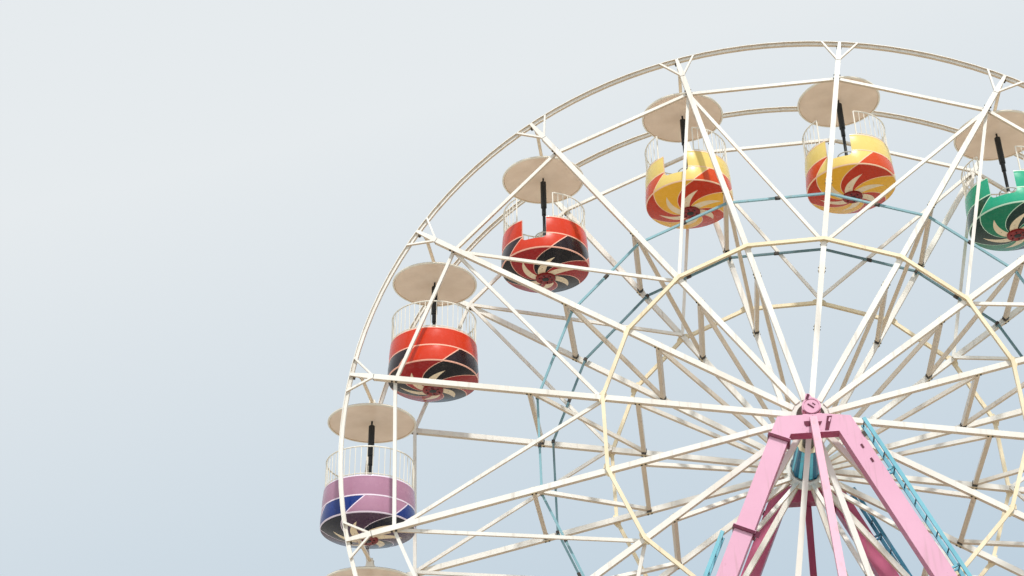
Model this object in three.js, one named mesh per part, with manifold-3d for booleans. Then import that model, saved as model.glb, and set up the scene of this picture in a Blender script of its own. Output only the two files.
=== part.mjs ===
// Ferris wheel with sixteen round tub cabins, carried between two pink A-shaped towers.
// Millimetres, +Z up. The origin is on the ground, under the middle of the wheel's axle.
// The axle lies along Y, and the front of the wheel faces -Y.

import * as THREE from "three";
import Module from "manifold-3d";
import { mergeVertices } from "three/addons/utils/BufferGeometryUtils.js";

const wasm = await Module();
wasm.setup();

// Driving dimensions of the wheel
const CABIN_COUNT = 16;
const HUB_HEIGHT = 14100;
const RIM_RADIUS = 8500;
const FIRST_ANGLE = THREE.MathUtils.degToRad(10.05); // cabin 01, clockwise from upright, seen from the front
const WHEEL_HALF_DEPTH = 1118; // from the wheel's middle plane to the centre of each spoke plane
const SEAM = 0.3; // joint line between two pieces that touch

// Stations along a spoke, as radii from the axle
const HUB_PLATE_RADIUS = 340;
const TRUSS_COLLAR_RADIUS = 470;
const INNER_TIE_RADIUS = 0.363 * RIM_RADIUS;
const MIDDLE_RING_RADIUS = 0.438 * RIM_RADIUS;
const REAR_HOOP_RADIUS = 0.572 * RIM_RADIUS;
const DIAGONAL_RADIUS = 0.5865 * RIM_RADIUS; // where the outer diagonals leave the front spokes
const OUTER_TIE_RADIUS = 0.599 * RIM_RADIUS;
const CHORD_RING_RADIUS = 0.901 * RIM_RADIUS;
const SPOKE_END_RADIUS = 0.948 * RIM_RADIUS;
const CABIN_AXLE_RADIUS = 0.978 * RIM_RADIUS;

// Bar sizes of the wheel
const SPOKE_SIZE = 100;
const BRACING_SIZE = 62;
const ZIGZAG_DEPTH = 52;
const MIDDLE_RING_SIZE = 68;
const TRUSS_SIZE = 80;
const TRUSS_DIAGONAL_SIZE = 70;
const HOOP_SIZE = 42;
const HUB_PLATE_THICKNESS = 60;
const HUB_LAP = 6; // how far each spoke reaches into the hub plate
const TRUSS_COLLAR_WIDTH = 160;
const TRUSS_COLLAR_THICKNESS = 40;
const GUSSET_THICKNESS = 40;
const FRONT_HOOP_Y = -900;
const REAR_HOOP_Y = 975;

// Rim: a rolled strip with a tube under it, and a fork from each spoke end
const RIM_SIDES = 32;
const RIM_SETBACK = 25; // from the spokes' centre plane to the rim's, towards the wheel's middle
const STRIP_OUTER_RADIUS = RIM_RADIUS + 35;
const STRIP_INNER_RADIUS = RIM_RADIUS + 20;
const STRIP_WIDTH = 150;
const RIM_TUBE_RADIUS = RIM_RADIUS - 35; // of the tube's inner side
const RIM_TUBE_WIDTH = 60;
const FORK_DEPTH = 50; // from the spokes' outer faces inwards
const FORK_SPREAD = 0.042 * RIM_RADIUS; // from the spoke's line to each foot of a fork, along the rim
const FORK_ROOT = 35; // solid part of a fork above the spoke's end
const FORK_CROTCH = 92; // from the spoke's end to where the arms part
const FORK_ARM = 50; // width of each outer arm along the rim
const FORK_NECK = 60; // width of the middle arm at the rim
const FORK_LAP = 3; // how far the middle arm reaches into the strip
const FORK_FOOT_DROP = 30; // from the strip's corners down to the feet of the outer arms

// Axle and the striped drum on it
const SHAFT_RADIUS = 110;
const SHAFT_END_Y = 1495;
const BEARING_CLEARANCE = 0.6;
const DRUM_FRONT_RADIUS = 210;
const DRUM_REAR_RADIUS = 290;
const DRUM_FRONT_Y = 0;
const DRUM_REAR_Y = 1040;
const DRUM_SIDES = 8;

// Cabin, measured down from its axle
const CABIN_AXLE_SIZE = 35; // radius of the tube that carries the cabin
const CABIN_AXLE_SIDES = 8;
const ROOF_RADIUS = 850;
const ROOF_EDGE_Z = -465;
const ROOF_EDGE_THICKNESS = 30;
const ROOF_RISE = 120;
const ROOF_HOLLOW = 65; // from the roof's edge up to the ceiling at the pole
const ROOF_LIP = 45; // width of the flat edge around the hollow
const HANGER_WIDTH = 140; // at the axle
const HANGER_FOOT = 500; // width where it meets the roof
const HANGER_DEPTH = 120;
const HANGER_SHOULDER = 100; // below the axle, where the hanger starts to widen
const HANGER_SINK = 60; // how far the hanger reaches into the roof
const SLEEVE_RADIUS = 60;
const SLEEVE_BOTTOM_Z = -1140;
const SLEEVE_SHOULDER_Z = -505;
const SLEEVE_TIP_Z = -470;
const NECK_RADIUS = 20; // of the pole above its sleeve
const POLE_RADIUS = 32;
const TUB_RIM_Z = -1890;
const TUB_BOTTOM_Z = -2815;
const TUB_RIM_RADIUS = 850;
const TUB_BASE_RADIUS = 885;
const TUB_WALL = 45;

// Heights inside the tub, above the flat middle of its underside
const DISH_RISE = 150; // of the underside's outer edge
const DISH_RADIUS = 840;
const BASE_HEIGHT = 190; // of the widest part
const TUB_FLOOR = 125;
const DOOR_STEP = 215;
const DOOR_SILL = 395;
const BENCH_HEIGHT = 535;

// Bench, doorway and railing of the tub
const BENCH_FRONT_RADIUS = 450;
const DOOR_WIDTH = 500;
const STEP_OUTER_RADIUS = 740;
const STEP_INNER_RADIUS = 370;
const GATE_WIDTH = 720; // gap in the railing above the doorway
const CUT_MARGIN = 50; // how far a cutting box reaches past what it cuts
const CUT_OVERLAP = 1; // between two cuts that meet
const RAIL_HEIGHT = 590; // above the tub's rim
const RAIL_SIZE = 28;
const RAIL_POSTS = 4;
const POST_SINK = 40; // how far the posts reach into the tub's wall
const POLE_CLEARANCE = 4;
const FLANGE_RADIUS = 190;
const FLANGE_LANDING = 10; // flat of the underside around the flange
const FLANGE_THICKNESS = 40;
const TUB_SIDES = 10;
const ROOF_SIDES = 8;

// Towers, one in front of the wheel and one behind it
const TOWER_FACE_Y = 1628; // outer face of each tower, from the wheel's middle plane
const TOWER_DEPTH = 250;
const TOWER_CENTRE_Y = TOWER_FACE_Y - TOWER_DEPTH / 2;
const LEG_LEAN = Math.tan(THREE.MathUtils.degToRad(24.2));
const LEG_WIDTH = 325;
const LEG_AXIS_OFFSET = 349; // of the leg's centre line from the middle, at the height of the axle
const HEAD_TOP = HUB_HEIGHT - 195;
const HEAD_BOTTOM = HUB_HEIGHT - 545;
const STUB_BOTTOM = HUB_HEIGHT - 595;
const HEAD_SLOPE_START = 200; // from the middle, where the top of the far half starts to fall
const HEAD_SLOPE_DROP = 60; // at the far leg's outer corner
const LEG_OVERRUN = 300; // length of leg cut away above the head and below the foot
const FLANGE_PLATE = 26;
const FLANGE_LIP = 35;
const LEG_JOINT_HEIGHT = HUB_HEIGHT - 2250;
const BEARING_RADIUS = 168;
const BEARING_SETBACK = 65; // from the tower's outer face
const BEARING_CAP = 40;
const BEARING_SEAT = 45; // top of the flat seat above the head
const LUG_OUTLINE = [[-115, -73], [60, -73], [-15, 77], [-75, 77]]; // X, and Z from the bearing's crown
const LUG_THICKNESS = 40;
const STRUT_SIZE = 125;
const STRUT_LEAN = 0.47;
const STRUT_TOP = HUB_HEIGHT - 260;
const STRUT_OVERRUN = 400; // length of strut cut away at both ends
const STRUT_PAD_MARGIN = 50;

// Base on the ground
const SILL_HEIGHT = 300;
const SILL_DEPTH = 340;
const SILL_OVERHANG = 120; // past each foot plate
const TIE_HEIGHT = 150;
const TIE_WIDTH = 320;
const TIE_OVERHANG = 350; // past each strut's foot
const FOOT_PLATE = 30;
const FOOT_MARGIN = 60;

// Ladders on the outer sides of the legs
const LADDER_TOP = HUB_HEIGHT - 400;
const LOW_LADDER_TOP = LEG_JOINT_HEIGHT - 90;
const LADDER_BOTTOM = SILL_HEIGHT + 350;
const LADDER_WIDTH = 300; // between the middles of the two rails
const LADDER_RAIL_WIDTH = 70; // of the flat rails, square to the leg
const LADDER_RAIL_DEPTH = 20;
const LADDER_RUNG = 26;
const LADDER_FIRST_RUNG = 930; // below the ladder's top
const LADDER_RUNG_STEP = 1800; // every sixth rung
const LADDER_STANDOFF = 162; // from the leg's face to the middle of the rails
const LADDER_BRACKET = 40;
const LADDER_BRACKET_EVERY = 2;

// Paint
const paint = (color, roughness = 0.45, metalness = 0) =>
  new THREE.MeshStandardMaterial({ color, roughness, metalness });
const WHITE = 0xf2eee4;
const CREAM = 0xf3e8c6;
const PINK = 0xf6bfdc;
const LIGHT_BLUE = 0x7fc4d8;
const DRIVE_BLUE = 0x5fa3ad;
const DRUM_BLUE = 0x1a6486;
const GREY_STEEL = 0x8d8f90;
const ROOF_TAN = 0xc9ae93;
const TUB_COLOURS = [0xe2b23a, 0x2f9e86, 0x8a5f9c, 0xd8452a]; // each is worn by two neighbouring cabins
// The turn of each tub's doorway about its pole, in degrees: 0 faces the front
const DOOR_TURNS = [-17, -20, 0, 12, 180, 170, 0, 180, 0, 165, 180, -12, 142, -121, -9, -16];

const X_AXIS = new THREE.Vector3(1, 0, 0);
const Y_AXIS = new THREE.Vector3(0, 1, 0);

// A closed solid of a geometry whose faces meet edge to edge
function solidOf(geometry) {
  const plain = geometry.clone();
  plain.deleteAttribute("normal");
  plain.deleteAttribute("uv");
  const merged = mergeVertices(plain, 1e-3);
  const vertProperties = new Float32Array(merged.attributes.position.array);
  const triVerts = new Uint32Array(merged.index.array);
  return new wasm.Manifold(new wasm.Mesh({ numProp: 3, vertProperties, triVerts }));
}

function joined(solids) {
  return solids.reduce((whole, solid) => whole.add(solid));
}

function meshOf(name, solid, material) {
  const { vertProperties, triVerts } = solid.getMesh();
  const geometry = new THREE.BufferGeometry();
  geometry.setAttribute("position", new THREE.BufferAttribute(new Float32Array(vertProperties), 3));
  geometry.setIndex(new THREE.BufferAttribute(new Uint32Array(triVerts), 1));
  geometry.computeVertexNormals();
  const mesh = new THREE.Mesh(geometry, material);
  mesh.name = name;
  return mesh;
}

// A square-ended bar between two points. Its depth is measured along "across", its width square to that.
function bar(start, end, width, depth, across = Y_AXIS) {
  const along = end.clone().sub(start);
  const length = along.length();
  along.normalize();
  const side = across.clone().cross(along).normalize();
  const third = along.clone().cross(side);
  const geometry = new THREE.BoxGeometry(width, depth, length);
  const middle = start.clone().add(end).multiplyScalar(0.5);
  geometry.applyMatrix4(new THREE.Matrix4().makeBasis(side, third, along).setPosition(middle));
  return solidOf(geometry);
}

function box(xMin, xMax, yMin, yMax, zMin, zMax) {
  const geometry = new THREE.BoxGeometry(xMax - xMin, yMax - yMin, zMax - zMin);
  geometry.translate((xMin + xMax) / 2, (yMin + yMax) / 2, (zMin + zMax) / 2);
  return solidOf(geometry);
}

// An upright plate cut to an outline in X and Z, between two Y values
function plateGeometry(outline, yMin, yMax) {
  const shape = new THREE.Shape(outline.map(([x, z]) => new THREE.Vector2(x, z)));
  const geometry = new THREE.ExtrudeGeometry(shape, { depth: yMax - yMin, bevelEnabled: false });
  return geometry.rotateX(Math.PI / 2).translate(0, yMax, 0);
}

function plate(outline, yMin, yMax) {
  return solidOf(plateGeometry(outline, yMin, yMax));
}

// A turned solid about the Y axis. The profile is a list of [radius, y] that runs outwards at its low end.
function turned(profile, sides, firstAngle = 0) {
  const points = profile.map(([radius, height]) => new THREE.Vector2(radius, height));
  return new THREE.LatheGeometry(points, sides, firstAngle);
}

// The same about the Z axis
function turnedUpright(profile, sides, firstAngle = 0) {
  return turned(profile, sides, firstAngle).rotateX(Math.PI / 2);
}

// A ring of square section about the wheel's axle, centred on a radius and a Y, with a corner at each spoke
function wheelRing(radius, yCentre, size) {
  const inner = radius - size / 2;
  const outer = radius + size / 2;
  const front = yCentre - size / 2;
  const rear = yCentre + size / 2;
  const section = [[inner, front], [outer, front], [outer, rear], [inner, rear], [inner, front]];
  return solidOf(turned(section, CABIN_COUNT, FIRST_ANGLE));
}

function angleOf(index) {
  return FIRST_ANGLE + (index * 2 * Math.PI) / CABIN_COUNT;
}

// A point of the wheel from its radius, its angle and its Y
function wheelPoint(radius, angle, y = 0) {
  return new THREE.Vector3(radius * Math.sin(angle), y, radius * Math.cos(angle));
}

const spokeIndices = Array.from({ length: CABIN_COUNT }, (_, index) => index);

// The sixteen square spokes of one side, joined by the hub plate
function spokeStar(planeY) {
  const hubPlate = solidOf(turned([
    [SHAFT_RADIUS + SEAM, planeY - HUB_PLATE_THICKNESS / 2],
    [HUB_PLATE_RADIUS, planeY - HUB_PLATE_THICKNESS / 2],
    [HUB_PLATE_RADIUS, planeY + HUB_PLATE_THICKNESS / 2],
    [SHAFT_RADIUS + SEAM, planeY + HUB_PLATE_THICKNESS / 2],
    [SHAFT_RADIUS + SEAM, planeY - HUB_PLATE_THICKNESS / 2],
  ], CABIN_COUNT, FIRST_ANGLE));
  const spokeStart = HUB_PLATE_RADIUS - HUB_LAP;
  const spokes = spokeIndices.map((index) => {
    const angle = angleOf(index);
    const start = wheelPoint(spokeStart, angle, planeY);
    const end = wheelPoint(SPOKE_END_RADIUS - SEAM, angle, planeY);
    return bar(start, end, SPOKE_SIZE, SPOKE_SIZE);
  });
  return joined([hubPlate, ...spokes]);
}

// The chord ring and the zigzag from it to the middle ring's even spokes, on the spokes' inner faces
function bracing(planeY, inward) {
  const y = planeY + inward * (SPOKE_SIZE / 2 + SEAM + BRACING_SIZE / 2);
  const chordRing = wheelRing(CHORD_RING_RADIUS, y, BRACING_SIZE);
  const zigzag = spokeIndices.map((index) => {
    const next = index + 1;
    const startRadius = index % 2 === 0 ? MIDDLE_RING_RADIUS : CHORD_RING_RADIUS;
    const endRadius = index % 2 === 0 ? CHORD_RING_RADIUS : MIDDLE_RING_RADIUS;
    const start = wheelPoint(startRadius, angleOf(index), y);
    const end = wheelPoint(endRadius, angleOf(next), y);
    return bar(start, end, BRACING_SIZE, ZIGZAG_DEPTH);
  });
  return joined([chordRing, ...zigzag]);
}

function middleRing(planeY, inward) {
  const y = planeY - inward * (SPOKE_SIZE / 2 + SEAM + MIDDLE_RING_SIZE / 2);
  return wheelRing(MIDDLE_RING_RADIUS, y, MIDDLE_RING_SIZE);
}

// A three-armed fork from a spoke's end to the rim, drawn with the spoke upright
function fork(yMin, yMax) {
  const root = SPOKE_END_RADIUS;
  const foot = STRIP_INNER_RADIUS - FORK_FOOT_DROP;
  const neckTop = STRIP_INNER_RADIUS + FORK_LAP;
  const spokeHalf = SPOKE_SIZE / 2;
  const rightHalf = [
    [spokeHalf, root],
    [spokeHalf, root + FORK_ROOT],
    [FORK_SPREAD + FORK_ARM / 2, foot],
    [FORK_SPREAD - FORK_ARM / 2, foot],
    [spokeHalf, root + FORK_CROTCH],
    [FORK_NECK / 2, neckTop],
  ];
  const leftHalf = rightHalf.map(([x, z]) => [-x, z]).reverse();
  return plateGeometry([...rightHalf, ...leftHalf], yMin, yMax);
}

// The rolled strip and the tube under it, with a fork at each spoke end
function rim(planeY, inward) {
  const rimY = planeY + inward * RIM_SETBACK;
  const tubeFront = rimY - RIM_TUBE_WIDTH / 2;
  const tubeRear = rimY + RIM_TUBE_WIDTH / 2;
  const stripFront = rimY - STRIP_WIDTH / 2;
  const stripRear = rimY + STRIP_WIDTH / 2;
  const ring = solidOf(turned([
    [RIM_TUBE_RADIUS, tubeFront],
    [STRIP_INNER_RADIUS, tubeFront],
    [STRIP_INNER_RADIUS, stripFront],
    [STRIP_OUTER_RADIUS, stripFront],
    [STRIP_OUTER_RADIUS, stripRear],
    [STRIP_INNER_RADIUS, stripRear],
    [STRIP_INNER_RADIUS, tubeRear],
    [RIM_TUBE_RADIUS, tubeRear],
    [RIM_TUBE_RADIUS, tubeFront],
  ], RIM_SIDES, FIRST_ANGLE));
  const outerFace = planeY - inward * SPOKE_SIZE / 2;
  const innerFace = outerFace + inward * FORK_DEPTH;
  const yMin = Math.min(outerFace, innerFace);
  const yMax = Math.max(outerFace, innerFace);
  const forks = spokeIndices.map((index) => solidOf(fork(yMin, yMax).rotateY(angleOf(index))));
  return joined([ring, ...forks]);
}

const spokeFaceY = WHEEL_HALF_DEPTH - SPOKE_SIZE / 2 - SEAM; // the plane that meets the spokes' inner faces
const diagonalEndY = spokeFaceY - TRUSS_SIZE / 2;

// Each spoke pair is tied by two cross tubes and two diagonals, and a rear collar joins them all
function crossTruss() {
  const collarRear = spokeFaceY;
  const collarFront = collarRear - TRUSS_COLLAR_THICKNESS;
  const collarInner = TRUSS_COLLAR_RADIUS - TRUSS_COLLAR_WIDTH;
  const collar = solidOf(turned([
    [collarInner, collarFront],
    [TRUSS_COLLAR_RADIUS, collarFront],
    [TRUSS_COLLAR_RADIUS, collarRear],
    [collarInner, collarRear],
    [collarInner, collarFront],
  ], CABIN_COUNT, FIRST_ANGLE));
  const collarSeat = TRUSS_COLLAR_RADIUS - TRUSS_COLLAR_WIDTH / 2;
  const gussetY = GUSSET_THICKNESS / 2 - spokeFaceY;
  const members = spokeIndices.flatMap((index) => {
    const angle = angleOf(index);
    const tangent = wheelPoint(1, angle + Math.PI / 2);
    const member = (size, startRadius, startY, endRadius, endAtY) => bar(
      wheelPoint(startRadius, angle, startY),
      wheelPoint(endRadius, angle, endAtY),
      size,
      size,
      tangent,
    );
    return [
      member(TRUSS_SIZE, OUTER_TIE_RADIUS, -spokeFaceY, OUTER_TIE_RADIUS, spokeFaceY),
      member(TRUSS_DIAGONAL_SIZE, DIAGONAL_RADIUS, -diagonalEndY, INNER_TIE_RADIUS, diagonalEndY),
      member(TRUSS_SIZE, INNER_TIE_RADIUS, -spokeFaceY, INNER_TIE_RADIUS, spokeFaceY),
      member(TRUSS_DIAGONAL_SIZE, INNER_TIE_RADIUS, -diagonalEndY, collarSeat, collarFront),
      bar(
        wheelPoint(DIAGONAL_RADIUS - TRUSS_DIAGONAL_SIZE, angle, gussetY),
        wheelPoint(OUTER_TIE_RADIUS, angle, gussetY),
        GUSSET_THICKNESS,
        TRUSS_SIZE,
        tangent,
      ),
    ];
  });
  return joined([collar, ...members]);
}

// The front hoop that the drive runs on, seated on the outer diagonals
function frontHoop() {
  const slope = (DIAGONAL_RADIUS - INNER_TIE_RADIUS) / (2 * diagonalEndY);
  const hoopFace = FRONT_HOOP_Y - HOOP_SIZE / 2;
  const halfDiagonal = TRUSS_DIAGONAL_SIZE / 2;
  const diagonalCentre = DIAGONAL_RADIUS - (hoopFace + diagonalEndY) * slope;
  const diagonalTop = diagonalCentre + halfDiagonal * Math.hypot(1, slope);
  const cornerDrop = halfDiagonal * Math.tan(Math.PI / CABIN_COUNT);
  const radius = diagonalTop + SEAM + cornerDrop + HOOP_SIZE / 2;
  return wheelRing(radius, FRONT_HOOP_Y, HOOP_SIZE);
}

// The rear hoop, held off the rear spokes by a short block at each of them
function rearHoop() {
  const hoop = wheelRing(REAR_HOOP_RADIUS, REAR_HOOP_Y, HOOP_SIZE);
  const blocks = spokeIndices.map((index) => {
    const angle = angleOf(index);
    const start = wheelPoint(REAR_HOOP_RADIUS, angle, REAR_HOOP_Y);
    const end = wheelPoint(REAR_HOOP_RADIUS, angle, spokeFaceY);
    return bar(start, end, HOOP_SIZE, HOOP_SIZE, wheelPoint(1, angle + Math.PI / 2));
  });
  return joined([hoop, ...blocks]);
}

// A plain drum about the wheel's axle, wider at one end if the radii differ
function drum(frontRadius, rearRadius, yMin, yMax, sides) {
  return solidOf(turned([[0, yMin], [frontRadius, yMin], [rearRadius, yMax], [0, yMax]], sides, FIRST_ANGLE));
}

// The shaft through both hub plates, with the eight-sided drum on its rear half
function axle() {
  const shaft = drum(SHAFT_RADIUS, SHAFT_RADIUS, -SHAFT_END_Y, SHAFT_END_Y, CABIN_COUNT);
  return shaft.add(drum(DRUM_FRONT_RADIUS, DRUM_REAR_RADIUS, DRUM_FRONT_Y, DRUM_REAR_Y, DRUM_SIDES));
}

// Distance to the side of a regular polygon, in a direction measured from the middle of one side
function sideReach(cornerRadius, sides, angle) {
  const sector = (2 * Math.PI) / sides;
  const offset = angle - Math.round(angle / sector) * sector;
  return (cornerRadius * Math.cos(sector / 2)) / Math.cos(offset);
}

// The tub's handrail with its posts, open above the doorway
function railing() {
  const z = TUB_RIM_Z + RAIL_HEIGHT - RAIL_SIZE / 2;
  const radius = TUB_RIM_RADIUS - TUB_WALL / 2;
  const half = RAIL_SIZE / 2;
  const section = [
    [radius - half, z - half],
    [radius + half, z - half],
    [radius + half, z + half],
    [radius - half, z + half],
    [radius - half, z - half],
  ];
  const hoop = solidOf(turnedUpright(section, TUB_SIDES, Math.PI / TUB_SIDES));
  const gate = box(-GATE_WIDTH / 2, GATE_WIDTH / 2, -TUB_BASE_RADIUS, 0, z - RAIL_SIZE, z + RAIL_SIZE);
  const firstAngle = Math.asin((GATE_WIDTH / 2 + half) / radius);
  const spread = (2 * Math.PI - 2 * firstAngle) / (RAIL_POSTS - 1);
  const posts = Array.from({ length: RAIL_POSTS }, (_, index) => {
    const angle = firstAngle + index * spread;
    const reach = sideReach(radius, TUB_SIDES, angle);
    const x = reach * Math.sin(angle);
    const y = -reach * Math.cos(angle);
    const foot = new THREE.Vector3(x, y, TUB_RIM_Z - POST_SINK);
    return bar(foot, new THREE.Vector3(x, y, z), RAIL_SIZE, RAIL_SIZE);
  });
  return joined([hoop.subtract(gate), ...posts]);
}

// The round tub with its bench, doorway and railing, in the cabin's own frame
function tub() {
  const up = (height) => TUB_BOTTOM_Z + height;
  const poleHole = POLE_RADIUS + POLE_CLEARANCE;
  const shell = solidOf(turnedUpright([
    [poleHole, up(0)],
    [FLANGE_RADIUS + FLANGE_LANDING, up(0)],
    [DISH_RADIUS, up(DISH_RISE)],
    [TUB_BASE_RADIUS, up(BASE_HEIGHT)],
    [TUB_RIM_RADIUS, TUB_RIM_Z],
    [TUB_RIM_RADIUS - TUB_WALL, TUB_RIM_Z],
    [TUB_RIM_RADIUS - TUB_WALL, up(BENCH_HEIGHT)],
    [BENCH_FRONT_RADIUS, up(BENCH_HEIGHT)],
    [BENCH_FRONT_RADIUS, up(TUB_FLOOR)],
    [poleHole, up(TUB_FLOOR)],
    [poleHole, up(0)],
  ], TUB_SIDES, Math.PI / TUB_SIDES));
  const half = DOOR_WIDTH / 2;
  const doorway = box(-half, half, -TUB_BASE_RADIUS - CUT_MARGIN, -STEP_INNER_RADIUS,
    up(DOOR_SILL), TUB_RIM_Z + CUT_MARGIN);
  const step = box(-half, half, -STEP_OUTER_RADIUS, -STEP_INNER_RADIUS,
    up(DOOR_STEP), up(DOOR_SILL) + CUT_OVERLAP);
  return shell.subtract(doorway).subtract(step).add(railing());
}

// The cabin's axle, hanger, roof and pole, with the flange that carries the tub from below
function canopy() {
  const roofTop = ROOF_EDGE_Z + ROOF_EDGE_THICKNESS + ROOF_RISE;
  const axleHalf = WHEEL_HALF_DEPTH + SPOKE_SIZE / 2 - FORK_DEPTH - SEAM;
  const cabinAxle = solidOf(turned([
    [0, -axleHalf],
    [CABIN_AXLE_SIZE, -axleHalf],
    [CABIN_AXLE_SIZE, axleHalf],
    [0, axleHalf],
  ], CABIN_AXLE_SIDES));
  const hangerOutline = [
    [-HANGER_FOOT / 2, roofTop - HANGER_SINK],
    [HANGER_FOOT / 2, roofTop - HANGER_SINK],
    [HANGER_WIDTH / 2, -HANGER_SHOULDER],
    [HANGER_WIDTH / 2, CABIN_AXLE_SIZE],
    [-HANGER_WIDTH / 2, CABIN_AXLE_SIZE],
    [-HANGER_WIDTH / 2, -HANGER_SHOULDER],
  ];
  const hanger = plate(hangerOutline, -HANGER_DEPTH / 2, HANGER_DEPTH / 2);
  const flangeTop = TUB_BOTTOM_Z - SEAM;
  const roofAndPole = solidOf(turnedUpright([
    [0, flangeTop - FLANGE_THICKNESS],
    [FLANGE_RADIUS, flangeTop - FLANGE_THICKNESS],
    [FLANGE_RADIUS, flangeTop],
    [POLE_RADIUS, flangeTop],
    [POLE_RADIUS, SLEEVE_BOTTOM_Z],
    [SLEEVE_RADIUS, SLEEVE_BOTTOM_Z],
    [SLEEVE_RADIUS, SLEEVE_SHOULDER_Z],
    [NECK_RADIUS, SLEEVE_TIP_Z],
    [NECK_RADIUS, ROOF_EDGE_Z + ROOF_HOLLOW],
    [ROOF_RADIUS - ROOF_LIP, ROOF_EDGE_Z],
    [ROOF_RADIUS, ROOF_EDGE_Z],
    [ROOF_RADIUS, ROOF_EDGE_Z + ROOF_EDGE_THICKNESS],
    [0, roofTop],
  ], ROOF_SIDES, Math.PI / ROOF_SIDES));
  return joined([roofAndPole, hanger, cabinAxle]);
}

const legHalfLevel = LEG_WIDTH / 2 / Math.cos(Math.atan(LEG_LEAN)); // half of the leg's width on a level cut

// X of the right leg's centre line at a height
function legAxisX(z) {
  return LEG_AXIS_OFFSET + (HUB_HEIGHT - z) * LEG_LEAN;
}

// A square-ended length of leg between two heights of its centre line, on the side given by the sign
function legBar(side, zTop, zBottom, margin = 0) {
  const at = (z) => new THREE.Vector3(side * legAxisX(z), -TOWER_CENTRE_Y, z);
  return bar(at(zTop), at(zBottom), LEG_WIDTH + 2 * margin, TOWER_DEPTH + 2 * margin);
}

// The crossbeam with its leg stubs. The near stub ends in a bolted flange, and the far end falls a little.
function towerHead() {
  const beamReach = legAxisX(HEAD_TOP);
  const beam = box(-beamReach, beamReach, -TOWER_FACE_Y, TOWER_DEPTH - TOWER_FACE_Y, HEAD_BOTTOM, HEAD_TOP);
  const stubs = [-1, 1].map((side) => legBar(side, HEAD_TOP + LEG_OVERRUN, STUB_BOTTOM));
  const stubReach = legAxisX(STUB_BOTTOM) + LEG_WIDTH;
  const keep = box(-stubReach, stubReach, -TOWER_FACE_Y, TOWER_DEPTH - TOWER_FACE_Y,
    STUB_BOTTOM - LEG_WIDTH, HEAD_TOP);
  const farCorner = beamReach + legHalfLevel;
  const slope = HEAD_SLOPE_DROP / (farCorner - HEAD_SLOPE_START);
  const slopeEnd = farCorner + CUT_MARGIN;
  const fall = plate([
    [HEAD_SLOPE_START, HEAD_TOP],
    [slopeEnd, HEAD_TOP - (slopeEnd - HEAD_SLOPE_START) * slope],
    [slopeEnd, HEAD_TOP + CUT_MARGIN],
    [HEAD_SLOPE_START, HEAD_TOP + CUT_MARGIN],
  ], -TOWER_FACE_Y - CUT_MARGIN, TOWER_DEPTH - TOWER_FACE_Y + CUT_MARGIN);
  const lip = legBar(-1, STUB_BOTTOM + FLANGE_PLATE, STUB_BOTTOM, FLANGE_LIP);
  return joined([beam, joined(stubs).intersect(keep), lip]).subtract(fall);
}

// A leg from below the head to its foot plate. The near one has bolted flanges.
function towerLeg(side, isNear) {
  const top = STUB_BOTTOM - SEAM;
  const foot = SILL_HEIGHT + SEAM;
  const footReach = legHalfLevel + FOOT_MARGIN;
  const footX = side * legAxisX(foot);
  const keepReach = legAxisX(0) + LEG_WIDTH;
  const keep = box(-keepReach, keepReach, -TOWER_FACE_Y, TOWER_DEPTH - TOWER_FACE_Y, foot, HUB_HEIGHT);
  const tube = legBar(side, top, foot - LEG_OVERRUN).intersect(keep);
  const footPlate = box(footX - footReach, footX + footReach, -TOWER_FACE_Y, TOWER_DEPTH - TOWER_FACE_Y,
    foot, foot + FOOT_PLATE);
  if (!isNear) {
    return joined([tube, footPlate]);
  }
  const topLip = legBar(side, top, top - FLANGE_PLATE, FLANGE_LIP);
  const jointLip = legBar(side, LEG_JOINT_HEIGHT + FLANGE_PLATE, LEG_JOINT_HEIGHT - FLANGE_PLATE, FLANGE_LIP);
  return joined([tube, footPlate, topLip, jointLip]);
}

// The strut that props a tower from outside, from the middle of its head down to the tie beam
function towerStrut() {
  const top = new THREE.Vector3(0, -TOWER_FACE_Y, STRUT_TOP);
  const drop = STRUT_TOP - TIE_HEIGHT;
  const foot = new THREE.Vector3(0, -TOWER_FACE_Y - drop * STRUT_LEAN, TIE_HEIGHT);
  const down = foot.clone().sub(top).normalize();
  const start = top.clone().addScaledVector(down, -STRUT_OVERRUN);
  const end = foot.clone().addScaledVector(down, STRUT_OVERRUN);
  const longBar = bar(start, end, STRUT_SIZE, STRUT_SIZE, X_AXIS);
  const padHalf = STRUT_SIZE / 2 + STRUT_PAD_MARGIN;
  const padTop = TIE_HEIGHT + SEAM + FOOT_PLATE;
  const keep = box(-STRUT_SIZE, STRUT_SIZE, end.y - STRUT_SIZE, -TOWER_FACE_Y - SEAM,
    TIE_HEIGHT + SEAM, STRUT_TOP);
  const pad = box(-padHalf, padHalf, foot.y - padHalf, foot.y + padHalf, TIE_HEIGHT + SEAM, padTop);
  return longBar.intersect(keep).add(pad);
}

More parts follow.
